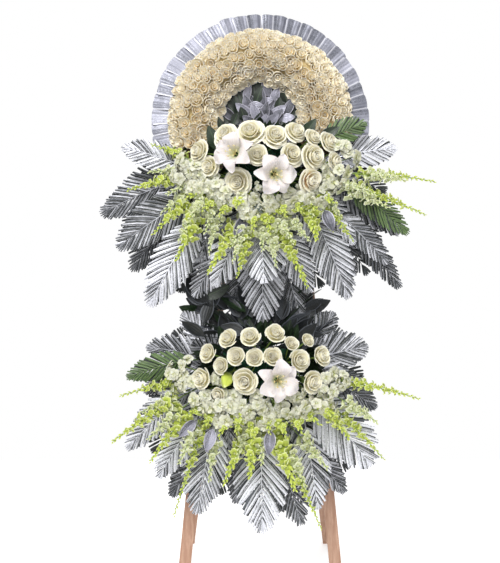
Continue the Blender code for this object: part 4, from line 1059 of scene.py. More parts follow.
@dataclass(frozen=True)
class LilyHead:
    """A lily of radius one: six tepals rise from a narrow throat and bend back at their tips, facing +Z."""

    throat: tuple[float, float] = (0.12, -0.34)
    half_width: float = 0.37
    thickness: float = 0.018
    bud_profile: tuple[tuple[float, float], ...] = (  # heights and radii
        (0.0, 0.05), (0.1, 0.15), (0.3, 0.22), (0.5, 0.25), (0.7, 0.21), (0.86, 0.12), (0.96, 0.06),
        (1.0, 0.01),
    )

    def tepal(self, turn: float, lift: float, wide: float, chance: Chance) -> Array:
        """One tepal's middle surface, at an angle about the lily's axis, lifted, and so wide."""
        along, across = leaf_grid(12, 7)
        out = self.throat[0] + (1.0 - self.throat[0]) * along
        up = self.throat[1] + (0.53 + lift) * np.sin(np.minimum(along / 0.62, 1) * math.pi / 2)
        up = up - 0.30 * smooth(along, 0.55, 1.0) ** 1.5
        broad = self.half_width * wide * np.sin(math.pi * (0.08 + 0.90 * along) ** 0.95) ** 0.75
        broad = np.maximum(broad, 0.02)
        channel = 0.38 * broad * across**2 - 0.05 * broad * np.exp(-((across / 0.18) ** 2))
        ruffle = 0.065 * np.sin(along * 13 + phase(chance) + 2.5 * across) * np.abs(across) ** 1.5
        return turned(out, across * broad, up + channel + ruffle * smooth(along, 0.1, 0.4), turn)

    def template(self, seed: int) -> Draft:
        """The six tepals, to be stamped: the three inner ones are wider and stand higher."""
        chance = np.random.default_rng(seed)
        draft = Draft()
        for number in range(6):
            inner = number % 2 == 1
            turn = math.radians(60 * number + 30) + chance.normal(0, 0.06)
            lift = (0.08 if inner else 0.0) + chance.normal(0, 0.05)
            grid = self.tepal(turn, lift, 1.15 if inner else 0.88, chance)
            draft.sheet(grid, self.thickness, chance.uniform(0.2, 0.8))
        return draft

    def bud(self) -> Draft:
        """A closed bud of length one with a groove between its tepals, to be stamped."""
        turns = np.arange(18) * math.pi / 9
        lobes = 1 - 0.14 * np.abs(np.sin(1.5 * turns)) ** 0.5 + 0.10 * np.cos(3 * turns)
        draft = Draft()
        draft.skin(turned_rings(self.bud_profile, 18, lobes), 0.5)
        return draft

    def stamens(self) -> Draft:
        """Six anthers on bowed filaments round a longer pistil, to be stamped."""
        draft = Draft()
        for number in range(7):
            turn = math.radians(60 * number)
            reach, height = (0.0, 0.42) if number == 6 else (0.26, 0.30)
            steps = np.linspace(0, 1, 6)
            path = polar(0.02 + reach * steps**1.6, turn, -0.30 + (height + 0.30) * steps)
            draft.tube(path, np.full(6, 0.012), 5, 0.2)
            if number < 6:
                away = np.array((-math.sin(turn), math.cos(turn), 0.0))
                ends = path[-1] + away * np.linspace(-0.065, 0.065, 5)[:, None]
                draft.tube(ends, 0.024 * np.array((0.4, 0.9, 1.0, 0.9, 0.4)), 6, 0.9)
            else:
                draft.skin(turned_rings(((0.40, 0.02), (0.44, 0.05), (0.47, 0.02)), 6), 0.5)
        return draft


@dataclass(frozen=True)
class SmallFlower:
    """A small white flower of radius one with notched petals in two rings, facing +Z."""

    petals: int = 5
    thickness: float = 0.03

    def template(self, seed: int) -> Draft:
        """One flower, to be stamped."""
        chance = np.random.default_rng(seed)
        draft = Draft()
        for count, reach, tilt, turn in ((self.petals, 1.0, 0.14, 0.0), (self.petals - 2, 0.58, 0.55, 0.6)):
            for number in range(count):
                along, across = leaf_grid(4, 4)
                length = reach * (1 + chance.normal(0, 0.14))
                notch = 0.12 * np.exp(-((across / 0.35) ** 2)) * smooth(along, 0.6, 1.0)
                out = 0.06 + (length - 0.06) * along * (1 - 0.12 * across**4) - notch
                half = length * 0.50 * np.sin(math.pi * (0.05 + 0.80 * along)) ** 0.9
                up = (tilt + chance.normal(0, 0.13)) * np.sin(out * 1.9) - 0.16 * along**2
                up = up + 0.13 * np.sin(4.5 * across + phase(chance)) * along + 0.08 * across**2
                middle = turn + 2 * math.pi * number / count + chance.normal(0, 0.10)
                draft.sheet(turned(out, across * half, up, middle), self.thickness, chance.uniform(0.2, 0.8))
        draft.skin(turned_rings(((-0.30, 0.04), (-0.12, 0.14), (0.10, 0.10), (0.17, 0.04)), 6), 0.5)
        return draft


@dataclass(frozen=True)
class Floret:
    """A snapdragon floret of length one along +Z: a pouched tube with two upper and three lower lobes."""

    sides: int = 5
    lobe_thickness: float = 0.06

    def _body(self, profile: Sequence[tuple[float, float]]) -> Array:
        """The rings of a tube or bud, from heights and radii, with a pouch below."""
        rings = turned_rings(profile, self.sides)
        rings[..., 1] -= 0.06 * np.sin(math.pi * rings[..., 2])
        return rings

    def open_form(self, seed: int) -> Draft:
        """An open floret, to be stamped."""
        chance = np.random.default_rng(seed)
        draft = Draft()
        draft.skin(self._body(((0, 0.05), (0.20, 0.17), (0.45, 0.21), (0.70, 0.11))), 0.3)
        for middle in (58, 122, 208, 270, 332):
            along, across = leaf_grid(3, 3)
            angle = math.radians(middle) + across * (0.32 + 0.34 * np.sin(math.pi * along * 0.75))
            reach = (0.40 if middle < 180 else 0.48) * (1 + chance.normal(0, 0.14))
            out = 0.12 + reach * along**1.1 * (1 - 0.20 * across**2)
            up = 0.56 + 0.50 * along - 0.38 * along**2
            up = up + 0.07 * np.sin(4 * across + phase(chance)) * along
            draft.sheet(polar(out, angle, up), self.lobe_thickness, chance.uniform(0.3, 0.9))
        return draft

    def bud_form(self) -> Draft:
        """A closed bud, to be stamped."""
        draft = Draft()
        draft.skin(self._body(((0, 0.07), (0.25, 0.23), (0.6, 0.25), (1.0, 0.04))), 0.5)
        return draft


def trimmed_reach(start: float, length: float, half_width: float, spread: float) -> float:
    """How far a leaflet runs from its place on the rib to the blade's trimmed outline.

    Args:
        start: Its distance along the rib, from the foot of the blade.
        length: The blade's length.
        half_width: Half of the blade's width.
        spread: The leaflet's angle to the rib.

    Returns:
        The leaflet's length.
    """
    reach = length * np.arange(1, 60) / 60
    share = (start + reach * math.cos(spread)) / length
    outline = half_width * np.sin(math.pi * np.clip(share, 0, 1) ** 0.85) ** 0.6
    outside = (share >= 1) | (reach * math.sin(spread) > outline)
    return float(reach[np.argmax(outside)]) if outside.any() else length


@dataclass(frozen=True)
class Palm:
    """Palm fronds: pleated leaflets on both sides of an arched rib, cut by scissors to a rounded outline."""

    pitch: float = 0.0172  # between leaflets along the rib
    cover: float = 0.78  # how much of its place a leaflet fills
    pleat: float = 0.17  # height of the fold as a share of the leaflet's width
    thickness: float = 0.0007
    rib_radius: float = 0.0032
    ragged: float = 0.038
    rows: int = 5  # points along one leaflet

    def draw(self, draft: Draft, root: Array, frond: Frond, chance: Chance) -> None:
        """Draws one frond.

        Args:
            draft: Where it is drawn.
            root: Where its stalk starts.
            frond: Its tip, length and width.
            chance: The source of its small differences.
        """
        tip = np.array(frond.tip) * CM
        chord = float(np.linalg.norm(tip - root))
        rib = Rib.arched(root, tip, 0.10 * chord)
        first = max(0.06, 1.0 - frond.length * CM / chord)
        last = 1.0 - 0.14 * (1.0 - first)
        blade = (1.0 - first) * chord
        pairs = max(6, round((last - first) * chord / self.pitch))
        # Fronds set further back get a lower tint, so a darker and barer silver: painted shade.
        in_front = float(np.clip((-frond.tip[1] - 5.0) / 12.0, 0, 1))
        tint = min(1.0, frond.paint * (0.50 * in_front + chance.uniform(0.0, 0.50)))
        steps = np.linspace(0, 0.985, 14)
        draft.tube(rib.at(steps), self.rib_radius * (1 - 0.75 * steps), 6, tint)
        pitch = (last - first) * chord / pairs
        for number in range(pairs + 1):
            share = number / pairs
            spread = math.radians(54 - 30 * share)
            foot_width = self.cover * pitch * math.sin(spread)
            for sign in (-1, 1):
                t = first + (last - first) * (share + (0.15 / pairs if sign > 0 else 0.0))
                turned = spread + chance.normal(0, self.ragged)
                reach = trimmed_reach((t - first) * chord, blade, frond.width * CM / 2, turned)
                reach *= 1 - abs(chance.normal(0, self.ragged))
                end_width = foot_width + reach * math.radians(30) / pairs * self.cover
                self._leaflet(draft, rib, t, sign * turned, reach, (foot_width, end_width), tint, chance)
        for turned in (-0.27, -0.09, 0.09, 0.27):
            reach = (1 - last) * chord * 0.97
            self._leaflet(draft, rib, last, turned, reach, (foot_width, foot_width), tint, chance)

    def _leaflet(
        self, draft: Draft, rib: Rib, t: float, spread: float, reach: float, widths: tuple[float, float],
        tint: float, chance: Chance,
    ) -> None:
        """Draws one pleated leaflet from its place on the rib, at an angle, so long and so wide."""
        along, across = leaf_grid(self.rows, 3)
        direction, side, outward = rib.frame(t)
        way = unit(direction * math.cos(spread) + side * math.sin(spread) - outward * 0.13)
        lateral = unit(np.cross(outward, way))
        normal = unit(np.cross(way, lateral))
        roll = chance.normal(0, 0.16)
        c, s = math.cos(roll), math.sin(roll)
        lateral, normal = lateral * c + normal * s, normal * c - lateral * s
        width = widths[0] + (widths[1] - widths[0]) * along
        width = width * np.interp(along, (0, 0.1, 0.88, 1), (0.6, 1, 1, 0.62))
        sag = (0.02 + abs(chance.normal(0, 0.02))) * reach * along**2
        bow = direction * ((0.09 + chance.normal(0, 0.03)) * reach * along**2)[..., None]
        middle = rib.at(t) + way * (reach * along)[..., None] + bow
        grid = middle + lateral * (across * width / 2)[..., None]
        grid = grid + normal * (self.pleat * width * (0.5 - np.abs(across)) - sag)[..., None]
        draft.sheet(grid, self.thickness, float(np.clip(tint + chance.normal(0, 0.22), 0, 1)))


@dataclass(frozen=True)
class SnapdragonSpike:
    """Snapdragon spikes: florets in turns of the golden angle, open at the foot, in bud towards the tip."""

    pitch: float = 0.0092
    open_share: float = 0.62

    def draw(
        self, florets: Draft, stems: Draft, forms: Sequence[Draft], root: Array, spike: Spike, chance: Chance
    ) -> None:
        """Draws one spike.

        Args:
            florets: Where its florets are drawn.
            stems: Where its stem is drawn.
            forms: The open florets to stamp, and last the bud.
            root: Where its stem starts.
            spike: Its tip, length and girth.
            chance: The source of its small differences.
        """
        tip = np.array(spike.tip) * CM
        chord = float(np.linalg.norm(tip - root))
        stem = Rib.arched(root, tip, 0.07 * chord)
        start = max(0.12, 1.0 - spike.length * CM / chord)
        steps = np.linspace(0, 0.99, 16)
        stems.tube(stem.at(steps), STEM_RADIUS * (1 - 0.65 * steps), 6, 0.7)
        share, number = 0.0, 0
        tint = chance.uniform(0.3, 0.7)
        while share < 1.0:
            t = start + (1.0 - start) * share
            along, side, outward = stem.frame(t)
            angle = number * GOLDEN_ANGLE + chance.normal(0, 0.15)
            radial = side * math.cos(angle) + outward * math.sin(angle)
            rise = 1.15 + 0.9 * share
            axes = Axes.upright(stem.at(t) + radial * STEM_RADIUS * 0.4, unit(radial + along * rise), along)
            girth = spike.girth * CM * (1.0 - 0.70 * share)
            is_open = share < self.open_share + chance.normal(0, 0.08)
            form = forms[chance.integers(len(forms) - 1)] if is_open else forms[-1]
            size = girth * (1.55 if is_open else 1.30) * chance.uniform(0.80, 1.20)
            florets.stamp(form, axes, size, float(np.clip(tint + chance.normal(0, 0.12), 0, 0.75)))
            share += self.pitch * (1.0 - 0.45 * share) / (chord * (1.0 - start))
            number += 1


@dataclass(frozen=True)
class BroadLeaf:
    """Broad pointed leaves with a folded midrib, a slight arch and waved edges, on thin stalks."""

    rows: int = 11
    columns: int = 7
    thickness: float = 0.0007
    arch: float = 0.06
    fold: float = 0.16
    wave: float = 0.05

    def grid(self, root: Array, tip: Array, width: float, facing: Array, chance: Chance) -> Array:
        """The blade's middle surface.

        Args:
            root: The foot of the blade.
            tip: Its tip.
            width: Its full width.
            facing: The way that its upper side looks.
            chance: The source of its small differences.

        Returns:
            A grid of points.
        """
        along, across = leaf_grid(self.rows, self.columns)
        run = tip - root
        length = float(np.linalg.norm(run))
        side = unit(np.cross(run, facing))
        outward = unit(np.cross(side, run))
        half = width / 2 * np.maximum(np.sin(math.pi * along**0.8), 0.035) ** 0.75
        lift = self.arch * length * np.sin(math.pi * along) - self.fold * half * (1 - np.abs(across))
        lift = lift + self.wave * half * np.sin(9 * along + phase(chance)) * across**2
        bent = chance.normal(0, 0.05) * length * along**2
        grid = root + run * along[..., None] + side * (across * half + bent * 0.4)[..., None]
        return grid + outward * lift[..., None]

    def draw(
        self, draft: Draft, start: Array, root: Array, tip: Array, width: float, facing: Array,
        chance: Chance, tint: float,
    ) -> None:
        """Draws one leaf: its stalk from start to the blade's foot, and its blade."""
        draft.sheet(self.grid(root, tip, width, facing, chance), self.thickness, tint)
        bend = (start + root) / 2 + UP * 0.05 * float(np.linalg.norm(root - start))
        stalk = Rib(start, bend, root + (tip - root) * 0.05)
        draft.tube(stalk.at(np.linspace(0, 1, 5)), np.linspace(0.0016, 0.0011, 5), 5, tint)


def on_timber(names: Sequence[str], finish: Finish) -> None:
    """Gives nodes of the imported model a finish."""
    for name in names:
        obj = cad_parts[name]
        if not obj.material_slots:
            obj.data.materials.append(finish.material())
        for slot in obj.material_slots:
            slot.material = finish.material()
        LOG.info("%s: the packed solid in %s", name, finish.name)


@dataclass(frozen=True)
class Easel:
    """The timber easel. Its solids stay as packed and get their finish."""

    def dress(self) -> None:
        """Gives the timbers their grain."""
        legs = [f"{place}_leg_{side}" for place in ("front", "rear") for side in ("left", "right")]
        on_timber(legs, PlanedPine(Grain.UPRIGHT))
        on_timber(("top_rail", "rear_rail", "tier_rail_lower", "tier_rail_upper"), PlanedPine(Grain.LEVEL))
        on_timber(("stretcher_left", "stretcher_right"), PlanedPine(Grain.DEEP))

    def leaning_axes(self, node: str, middle: float) -> Axes:
        """The axes of what stands on the front frame.

        Args:
            node: A node whose box is centred on those axes' depth line.
            middle: How far that node's middle lies in front of the axes' origin.

        Returns:
            Axes with X to the right, Y into the frame and Z up along it.
        """
        low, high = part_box("front_leg_left")
        tilt = -math.atan((high.y - low.y - LEG_DEPTH) / (high.z - low.z))
        c, s = math.cos(tilt), math.sin(tilt)
        turn = np.array(((1, 0, 0), (0, c, -s), (0, s, c)))
        low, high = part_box(node)
        return Axes(np.array((low + high) / 2) + turn @ np.array((0, middle, 0)), turn)


@dataclass(frozen=True)
class Wreath:
    """The board with its rim of silvered leaves, its arch of packed roses and the leaves in its middle."""

    axes: Axes
    rim_inner: float = 0.2945
    rim_outer: float = 0.367
    rim_leaves: int = 48
    rim_step: float = 0.006  # how far one edge of a rim leaf stands in front of the other
    rim_thickness: float = 0.0008
    ring_radius: float = 0.218
    ring_half_width: float = 0.066
    ring_height: float = 0.050
    rose_bed: float = 0.009
    arch_start: float = math.radians(-20)
    arch_span: float = math.radians(220)
    arcs: int = 5
    rose_rows: tuple[int, ...] = (7, 7, 6, 6, 5, 5, 4)
    first_row: float = math.radians(22)
    rose_radius: float = 0.0205
    rose_faces_front: float = 0.45  # how far the roses of the ring's sides turn to the front
    middle_radius: float = 0.148  # the leaves in the middle stay inside it
    small_leaves: int = 46
    small_leaf_width: float = 0.032
    dark_leaves: int = 44
    dark_leaf_width: float = 0.044
    seed: int = 11

    def build(self) -> None:
        """Builds and dresses every piece of the wreath."""
        on_timber(("backing_board",), HARDBOARD)
        on_timber(("foam_ring",), WET_FOAM)
        self.rim()
        forms = [PACKED_ROSE.template(self.seed + number) for number in range(ROSE_COPIES)]
        for number in range(self.arcs):
            self.arc(number, forms)
        self.middle_leaves()

    def rim(self) -> None:
        """The rim: leaves laid like shingles, each standing out over the next, pleated along their ribs."""
        chance = np.random.default_rng(self.seed)
        draft = Draft()
        pitch = 2 * math.pi / self.rim_leaves
        along, across = leaf_grid(7, 10)
        share = across / 2 + 0.5
        for number in range(self.rim_leaves):
            wide = chance.uniform(1.12, 1.30)
            angle = pitch * (number - 0.15 + chance.normal(0, 0.06) + wide * share * (0.90 + 0.10 * along))
            outer = self.rim_outer + chance.normal(0, 0.0016) - 0.007 * np.abs(across) ** 5
            radius = self.rim_inner + (outer - self.rim_inner) * along
            folds = np.sin(2 * math.pi * chance.uniform(0.9, 1.6) * share + phase(chance))
            crease = np.exp(-(((share - chance.uniform(0.25, 0.75)) / 0.07) ** 2))
            crease = crease * chance.uniform(0.0, 0.0035)
            relief = (chance.uniform(0.0010, 0.0024) * folds + crease) * (0.35 + 0.65 * along)
            buckle = 0.004 * np.sin(math.pi * along * chance.uniform(0.8, 1.6)) * chance.uniform(-0.4, 1)
            grid = polar(radius, angle, 0.0042 + self.rim_step * share + relief + buckle)
            draft.sheet(stood_up(grid), self.rim_thickness, chance.uniform(0.1, 0.9))
        draft.piece("rim_leaf_blades", SILVER_RIM, self.axes, ("rim_leaves",))

    def rose_places(self, start: float, span: float) -> Iterator[Axes]:
        """The axes of each rose of one arc of the arch."""
        width, height = self.ring_half_width + self.rose_bed, self.ring_height + self.rose_bed
        for row, count in enumerate(self.rose_rows):
            for number in range(count):
                turn = self.first_row + (math.pi - 2 * self.first_row) * row / (len(self.rose_rows) - 1)
                turn += 0.10 * math.sin(5.1 * number + 3.7 * row + 2.3 * start)
                normal = unit(np.array((math.cos(turn) / width, math.sin(turn) / height)))
                shift = 0.24 * (-1) ** row + 0.12 * math.sin(7.3 * number + row)
                angle = start + span / count * (number + 0.5 + shift)
                out = np.array((math.cos(angle), 0, math.sin(angle)))
                seat = out * (self.ring_radius + width * math.cos(turn))
                seat = seat + FORWARD * (2 * GAP + height * math.sin(turn))
                way = unit(out * normal[0] + FORWARD * (normal[1] + self.rose_faces_front))
                yield Axes.facing(seat, way)

    def arc(self, number: int, forms: Sequence[Draft]) -> None:
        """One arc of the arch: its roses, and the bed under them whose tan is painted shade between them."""
        chance = np.random.default_rng(self.seed * 7 + number)
        span = self.arch_span / self.arcs
        start = self.arch_start + span * number
        node = f"rose_arc_{number + 1}"
        draft, bed = Draft(), Draft()
        for axes in self.rose_places(start, span):
            form = forms[chance.integers(len(forms))]
            shift = axes.turn @ (chance.uniform(-0.16, 0.16, 3) * self.rose_radius * np.array((1, 1, 1.2)))
            leaned = unit(axes.turn[:, 2] + chance.normal(0, 0.12, 3))
            jostled = Axes.facing(axes.origin + shift, leaned, chance.uniform(0, 2 * math.pi))
            radius = self.rose_radius * chance.uniform(1.00, 1.24)
            draft.stamp(form, jostled, radius, chance.uniform(0.10, 0.95))
        draft.piece(f"{node}_petals", CREAM_ROSE, self.axes, (node,))
        trim = GAP / self.ring_radius
        section = []
        for outer, way in ((self.rose_bed, 1), (GAP, -1)):
            bend = np.linspace(0, math.pi, 9)[::way]
            distance = self.ring_radius + (self.ring_half_width + outer) * np.cos(bend)
            section.append(np.stack((distance, GAP + (self.ring_height + outer) * np.sin(bend)), axis=-1))
        distance, height = np.concatenate(section).T
        turns = np.linspace(start + trim, start + span - trim, 16)
        bed.skin(np.stack([stood_up(polar(distance, turn, height)) for turn in turns]), 0.5)
        bed.piece(f"{node}_bed", PAINTED_SHADE_BED, self.axes)

    def middle_leaves(self) -> None:
        """The silvered leaves in the middle, with smaller ones and dark evergreen behind them."""
        chance = np.random.default_rng(self.seed + 5)
        maker = BroadLeaf()
        silver, dark = Draft(), Draft()
        foot = WREATH_LEAF_ROOT
        silver.tube(foot + FORWARD * np.array((GAP, 0.03, 0.05))[:, None], (0.008, 0.008, 0.007), 10, 0.4)
        for leaf in WREATH_LEAVES:
            start = foot + np.array((0, 0.8 * leaf.root[1] * CM, 0))
            root, tip = np.array(leaf.root) * CM + foot, np.array(leaf.tip) * CM + foot
            facing = unit(FORWARD + chance.normal(0, 0.18, 3))
            maker.draw(silver, start, root, tip, leaf.width * CM, facing, chance, chance.uniform(0.1, 1.0))
        for number, (x, z) in enumerate(scattered(self.small_leaves, 0.138, 0.138)):
            middle = np.array((x, 0, z))
            out = unit(middle - 1.2 * foot + chance.normal(0, 0.06, 3) * np.array((1, 0, 1)))
            depth = FORWARD * (0.036 - 0.19 * math.hypot(x, z) + chance.uniform(0, 0.006))
            length = chance.uniform(0.046, 0.066)
            root, tip = middle - out * length * 0.5 + depth * 0.8, middle + out * length * 0.5 + depth * 1.2
            if math.hypot(tip[0], tip[2]) < self.middle_radius:
                facing = unit(FORWARD + chance.normal(0, 0.28, 3))
                target = dark if number % 3 == 1 or (x < -0.05 and number % 2) else silver
                tint = chance.uniform(0, 1) * (0.3 if target is dark else 1.0)
                width = self.small_leaf_width
                maker.draw(target, foot + depth * 0.5, root, tip, width, facing, chance, tint)
        for number, (x, z) in enumerate(scattered(self.dark_leaves, 0.145, 0.145, 0.7)):
            middle = np.array((x, 0, z))
            out = unit(middle - 1.6 * foot)
            depth = FORWARD * (0.0035 + 0.004 * (number % 2))
            tip, root = middle + out * 0.026 + depth, middle - out * 0.030 + depth
            width, tint = self.dark_leaf_width, chance.uniform(0, 0.35)
            maker.draw(dark, foot + depth * 0.5, root, tip, width, FORWARD, chance, tint)
        silver.piece("wreath_leaf_blades", SILVER_BROAD, self.axes, ("wreath_leaves",))
        dark.piece("wreath_evergreen", EVERGREEN, self.axes)


@dataclass(frozen=True)
class Plan:
    """What stands in one foam block."""

    name: str
    fronds: dict[str, tuple]
    green_fronds: tuple
    spikes: dict[str, tuple]
    roses: dict[str, tuple]
    lilies: tuple
    small_whites: dict[str, tuple]
    silver_leaves: dict[str, tuple]
    green_leaves: tuple
    seed: int
    gap_flowers: int  # places in the dome where a small white flower stands if there is room
    side_spikes: tuple[tuple[float, float], ...]  # place between two snapdragons, and share of their reach
    below: bool = False  # whether it is the lower one, with a crown of dark leaves and a lily bud


@dataclass
class Tier:
    """One foam block in its tray with everything that stands in it."""

    plan: Plan
    axes: Axes
    stems: Draft
    shaded: Draft  # the fronds behind the others, in a darker silver that is painted shade
    chance: Chance
    backing_length: float = 27.0  # cm
    backing_reach: float = 0.93  # as a share of the reach of the fronds beside it
    backing_depth: float = -4.2  # cm
    inner_length: float = 26.0
    inner_reach: float = 0.70
    inner_depth: float = -11.5
    short_spikes: int = 10
    crown_leaves: int = 104
    leg_leaves: int = 12  # how many of them stand before the left leg, as painted shade over it
    filler_leaves: int = 110
    side_leaves: int = 54  # on the foam's sides and top

    @classmethod
    def of(cls, plan: Plan, easel: Easel) -> "Tier":
        """The tier of a plan, on its own foam block."""
        axes = easel.leaning_axes(f"{plan.name}_foam", FOAM_MIDDLE)
        return cls(plan, axes, Draft(), Draft(), np.random.default_rng(plan.seed))

    def build(self) -> None:
        """Builds and dresses every piece of the tier."""
        plan = self.plan
        on_timber((f"{plan.name}_foam",), WET_FOAM)
        on_timber((f"{plan.name}_tray",), TRAY_PLASTIC)
        for key, group in plan.fronds.items():
            self.fronds(f"silver_fronds_{key}", *group, Palm(), SILVER_PALM)
        self.fronds("green_fronds", *plan.green_fronds, Palm(pitch=0.0135, cover=0.75), FRESH_PALM)
        florets = [Floret().open_form(seed) for seed in range(TIER_COPIES)] + [Floret().bud_form()]
        for key, group in plan.spikes.items():
            self.spikes(f"snapdragons_{key}", *group, florets)
        head = replace(OPEN_ROSE, rings=OPEN_ROSE.rings[:-1]) if plan.below else OPEN_ROSE
        rose_forms = [head.template(seed) for seed in range(ROSE_COPIES)]
        for key, group in plan.roses.items():
            self.roses(f"roses_{key}", *group, rose_forms)
        self.lilies(*plan.lilies)
        small_forms = [SmallFlower().template(seed) for seed in range(TIER_COPIES)]
        for key, group in plan.small_whites.items():
            self.small_whites(f"small_whites_{key}", *group, small_forms)
        for key, group in plan.silver_leaves.items():
            # Leaves on top of the foam get the darkened silver, painted shade under the tier above.
            self.leaves(f"silver_leaves_{key}", *group, SHADE_SILVER_BROAD if key == "top" else SILVER_BROAD)
        if plan.below:
            self.bud("green_leaves", *plan.green_leaves)
        else:
            self.leaves("green_leaves", *plan.green_leaves, EVERGREEN)
        self.filler()
        self.backing_fronds()
        self.more_spikes(florets)
        self.more_whites(small_forms)
        if plan.below:
            self.crown()
        self._extra(self.stems, "stems", STEM)

    def _shown(self, draft: Draft, key: str, part: str, finish: Finish) -> None:
        """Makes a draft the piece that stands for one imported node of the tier."""
        node = f"{self.plan.name}_{key}"
        draft.piece(f"{node}_{part}", finish, self.axes, (node,))

    def _extra(self, draft: Draft, name: str, finish: Finish) -> None:
        """Makes a draft one more piece of the tier."""
        draft.piece(f"{self.plan.name}_{name}", finish, self.axes)

    def _started(self, hub: Hub, goals: Sequence[Array], items: Sequence) -> Iterator[tuple]:
        """Draws the bundle of stems at a hub, and gives each item with the place where its stem starts."""
        hub.bundle(self.stems, len(goals))
        return zip(hub.starts(goals), items)

    def _heads(self, hub: Hub, blooms: Sequence[Bloom]) -> Iterator[tuple[int, Array, Axes, Bloom]]:
        """For each flower of a bunch: its number, where its stem starts, its axes and itself."""
        heads = [bloom.axes() for bloom in blooms]
        started = self._started(hub, [head.origin for head in heads], blooms)
        for number, ((start, bloom), axes) in enumerate(zip(started, heads)):
            yield number, start, axes, bloom

    def _stem(self, start: Array, end: Array, radius: float = STEM_RADIUS) -> None:
        """Draws a flower's stem."""
        middle = (start + end) / 2 + UP * 0.04 * float(np.linalg.norm(end - start))
        self.stems.tube(Rib(start, middle, end).at(np.linspace(0, 1, 4)), np.full(4, radius), 5, 0.5)

    def fronds(self, key: str, hub: Hub, items: Sequence[Frond], palm: Palm, finish: Finish) -> None:
        """One bunch of palm fronds, each with one behind it in a darker silver that is painted shade."""
        draft = Draft()
        for start, frond in self._started(hub, tips_of(items), items):
            palm.draw(draft, start, frond, self.chance)
            x, y, z = frond.tip
            # Behind each frond a fully covered one in the darker silver, painted shade that shows through its
            # gaps.
            rear = replace(frond, tip=(0.985 * x, y + 0.7, 0.985 * z), width=0.96 * frond.width)
            rear_palm = replace(palm, pitch=palm.pitch * 1.12, cover=1.0, rows=3)
            rear_palm.draw(self.shaded, start - FORWARD * 0.005, rear, self.chance)
        self._shown(draft, key, "leaflets", finish)

    def spikes(self, key: str, hub: Hub, items: Sequence[Spike], forms: Sequence[Draft]) -> None:
        """One bunch of snapdragons."""
        draft = Draft()
        for start, spike in self._started(hub, tips_of(items), items):
            SnapdragonSpike().draw(draft, self.stems, forms, start, spike, self.chance)
        self._shown(draft, key, "florets", LIME_FLORET)

    def roses(self, key: str, hub: Hub, blooms: Sequence[Bloom], forms: Sequence[Draft]) -> None:
        """One bunch of roses, with a green hip and five sepals under each."""
        draft = Draft()
        for number, start, axes, bloom in self._heads(hub, blooms):
            radius = bloom.radius * CM
            spun = Axes.facing(axes.origin, axes.turn[:, 2], number * GOLDEN_ANGLE)
            tint = 1.0 if (bloom.x, bloom.z) == PEACH_ROSE else self.chance.uniform(0.2, 0.6)
            draft.stamp(forms[self.chance.integers(len(forms))], spun, radius, tint)
            self._stem(start, spun.place(-1.05 * radius * UP))
            self._calyx(spun, radius)
        self._shown(draft, key, "petals", IVORY_ROSE)

    def _calyx(self, axes: Axes, radius: float) -> None:
        """Draws the hip and the sepals under a rose."""
        hip = turned_rings(((-1.08, 0.07), (-0.98, 0.17), (-0.84, 0.20), (-0.70, 0.27)), 8)
        self.stems.skin(axes.place(hip * radius), 0.3)
        along, across = leaf_grid(5, 3)
        side = across * 0.10 * np.maximum(np.sin(math.pi * (0.2 + 0.78 * along)), 0.05)
        for number in range(5):
            grid = turned(0.20 + 0.42 * along, side, -0.84 + 0.40 * along**1.5, 2 * math.pi * number / 5)
            self.stems.sheet(axes.place(grid * radius), SEPAL_THICKNESS, 0.4)

    def lilies(self, hub: Hub, blooms: Sequence[Bloom]) -> None:
        """The lilies with their stamens."""
        tepals, stamens, lily = Draft(), Draft(), LilyHead()
        for number, start, axes, bloom in self._heads(hub, blooms):
            spun = Axes.facing(axes.origin, axes.turn[:, 2], number * 0.6)
            radius = bloom.radius * CM
            tepals.stamp(lily.template(self.plan.seed + number), spun, radius, 0.4)
            stamens.stamp(lily.stamens(), spun, radius, 0.5)
            self._stem(start, spun.place(-0.33 * radius * UP))
        self._shown(tepals, "lilies", "tepals", LILY)
        self._extra(stamens, "lilies_stamens", POLLEN)

    def small_whites(self, key: str, hub: Hub, blooms: Sequence[Bloom], forms: Sequence[Draft]) -> None:
        """One bunch of small white flowers: each head is a main flower with side flowers on short stalks."""
        draft = Draft()
        for _, start, axes, bloom in self._heads(hub, blooms):
            radius = bloom.radius * CM
            self._stem(start, axes.place(-0.5 * radius * UP), STEM_RADIUS * 0.8)
            self._cluster(draft, axes, radius, forms)
        self._shown(draft, key, "petals", SMALL_WHITE)

    def _cluster(self, draft: Draft, axes: Axes, radius: float, forms: Sequence[Draft]) -> None:
        """Draws a main flower with side flowers on short stalks from its neck."""
        chance = self.chance
        neck = axes.place(-0.5 * radius * UP)
        turn = phase(chance)
        faced = unit(axes.turn[:, 2] + chance.normal(0, 0.22, 3))
        main = Axes.facing(axes.origin, faced, turn)
        draft.stamp(forms[chance.integers(len(forms))], main, radius * 0.95, chance.uniform(0.2, 0.7))
        for side in range(3):
            angle = turn + side * math.pi / 1.5 + chance.normal(0, 0.4)
            away = np.array((math.cos(angle), math.sin(angle), 0))
            reach = radius * chance.uniform(0.85, 1.2)
            up = UP * radius * chance.uniform(-0.75, -0.05)
            faced = axes.turn @ unit(away * chance.uniform(0.5, 1.4) + UP)
            size = radius * chance.uniform(0.60, 0.95)
            head = Axes.facing(axes.place(away * reach + up), faced, phase(chance))
            draft.stamp(forms[chance.integers(len(forms))], head, size, chance.uniform(0.2, 0.8))
            self._stem(neck, head.place(-0.2 * size * UP), STALK_RADIUS)

    def leaves(self, key: str, hub: Hub, items: Sequence[Leaf], finish: Finish) -> None:
        """One bunch of broad leaves."""
        draft = Draft()
        for start, leaf in self._started(hub, tips_of(items), items):
            root, tip = np.array(leaf.root) * CM, np.array(leaf.tip) * CM
            tint = self.chance.uniform(0.2, 0.8)
            BroadLeaf().draw(draft, start, root, tip, leaf.width * CM, FORWARD, self.chance, tint)
        self._shown(draft, key, "blades", finish)

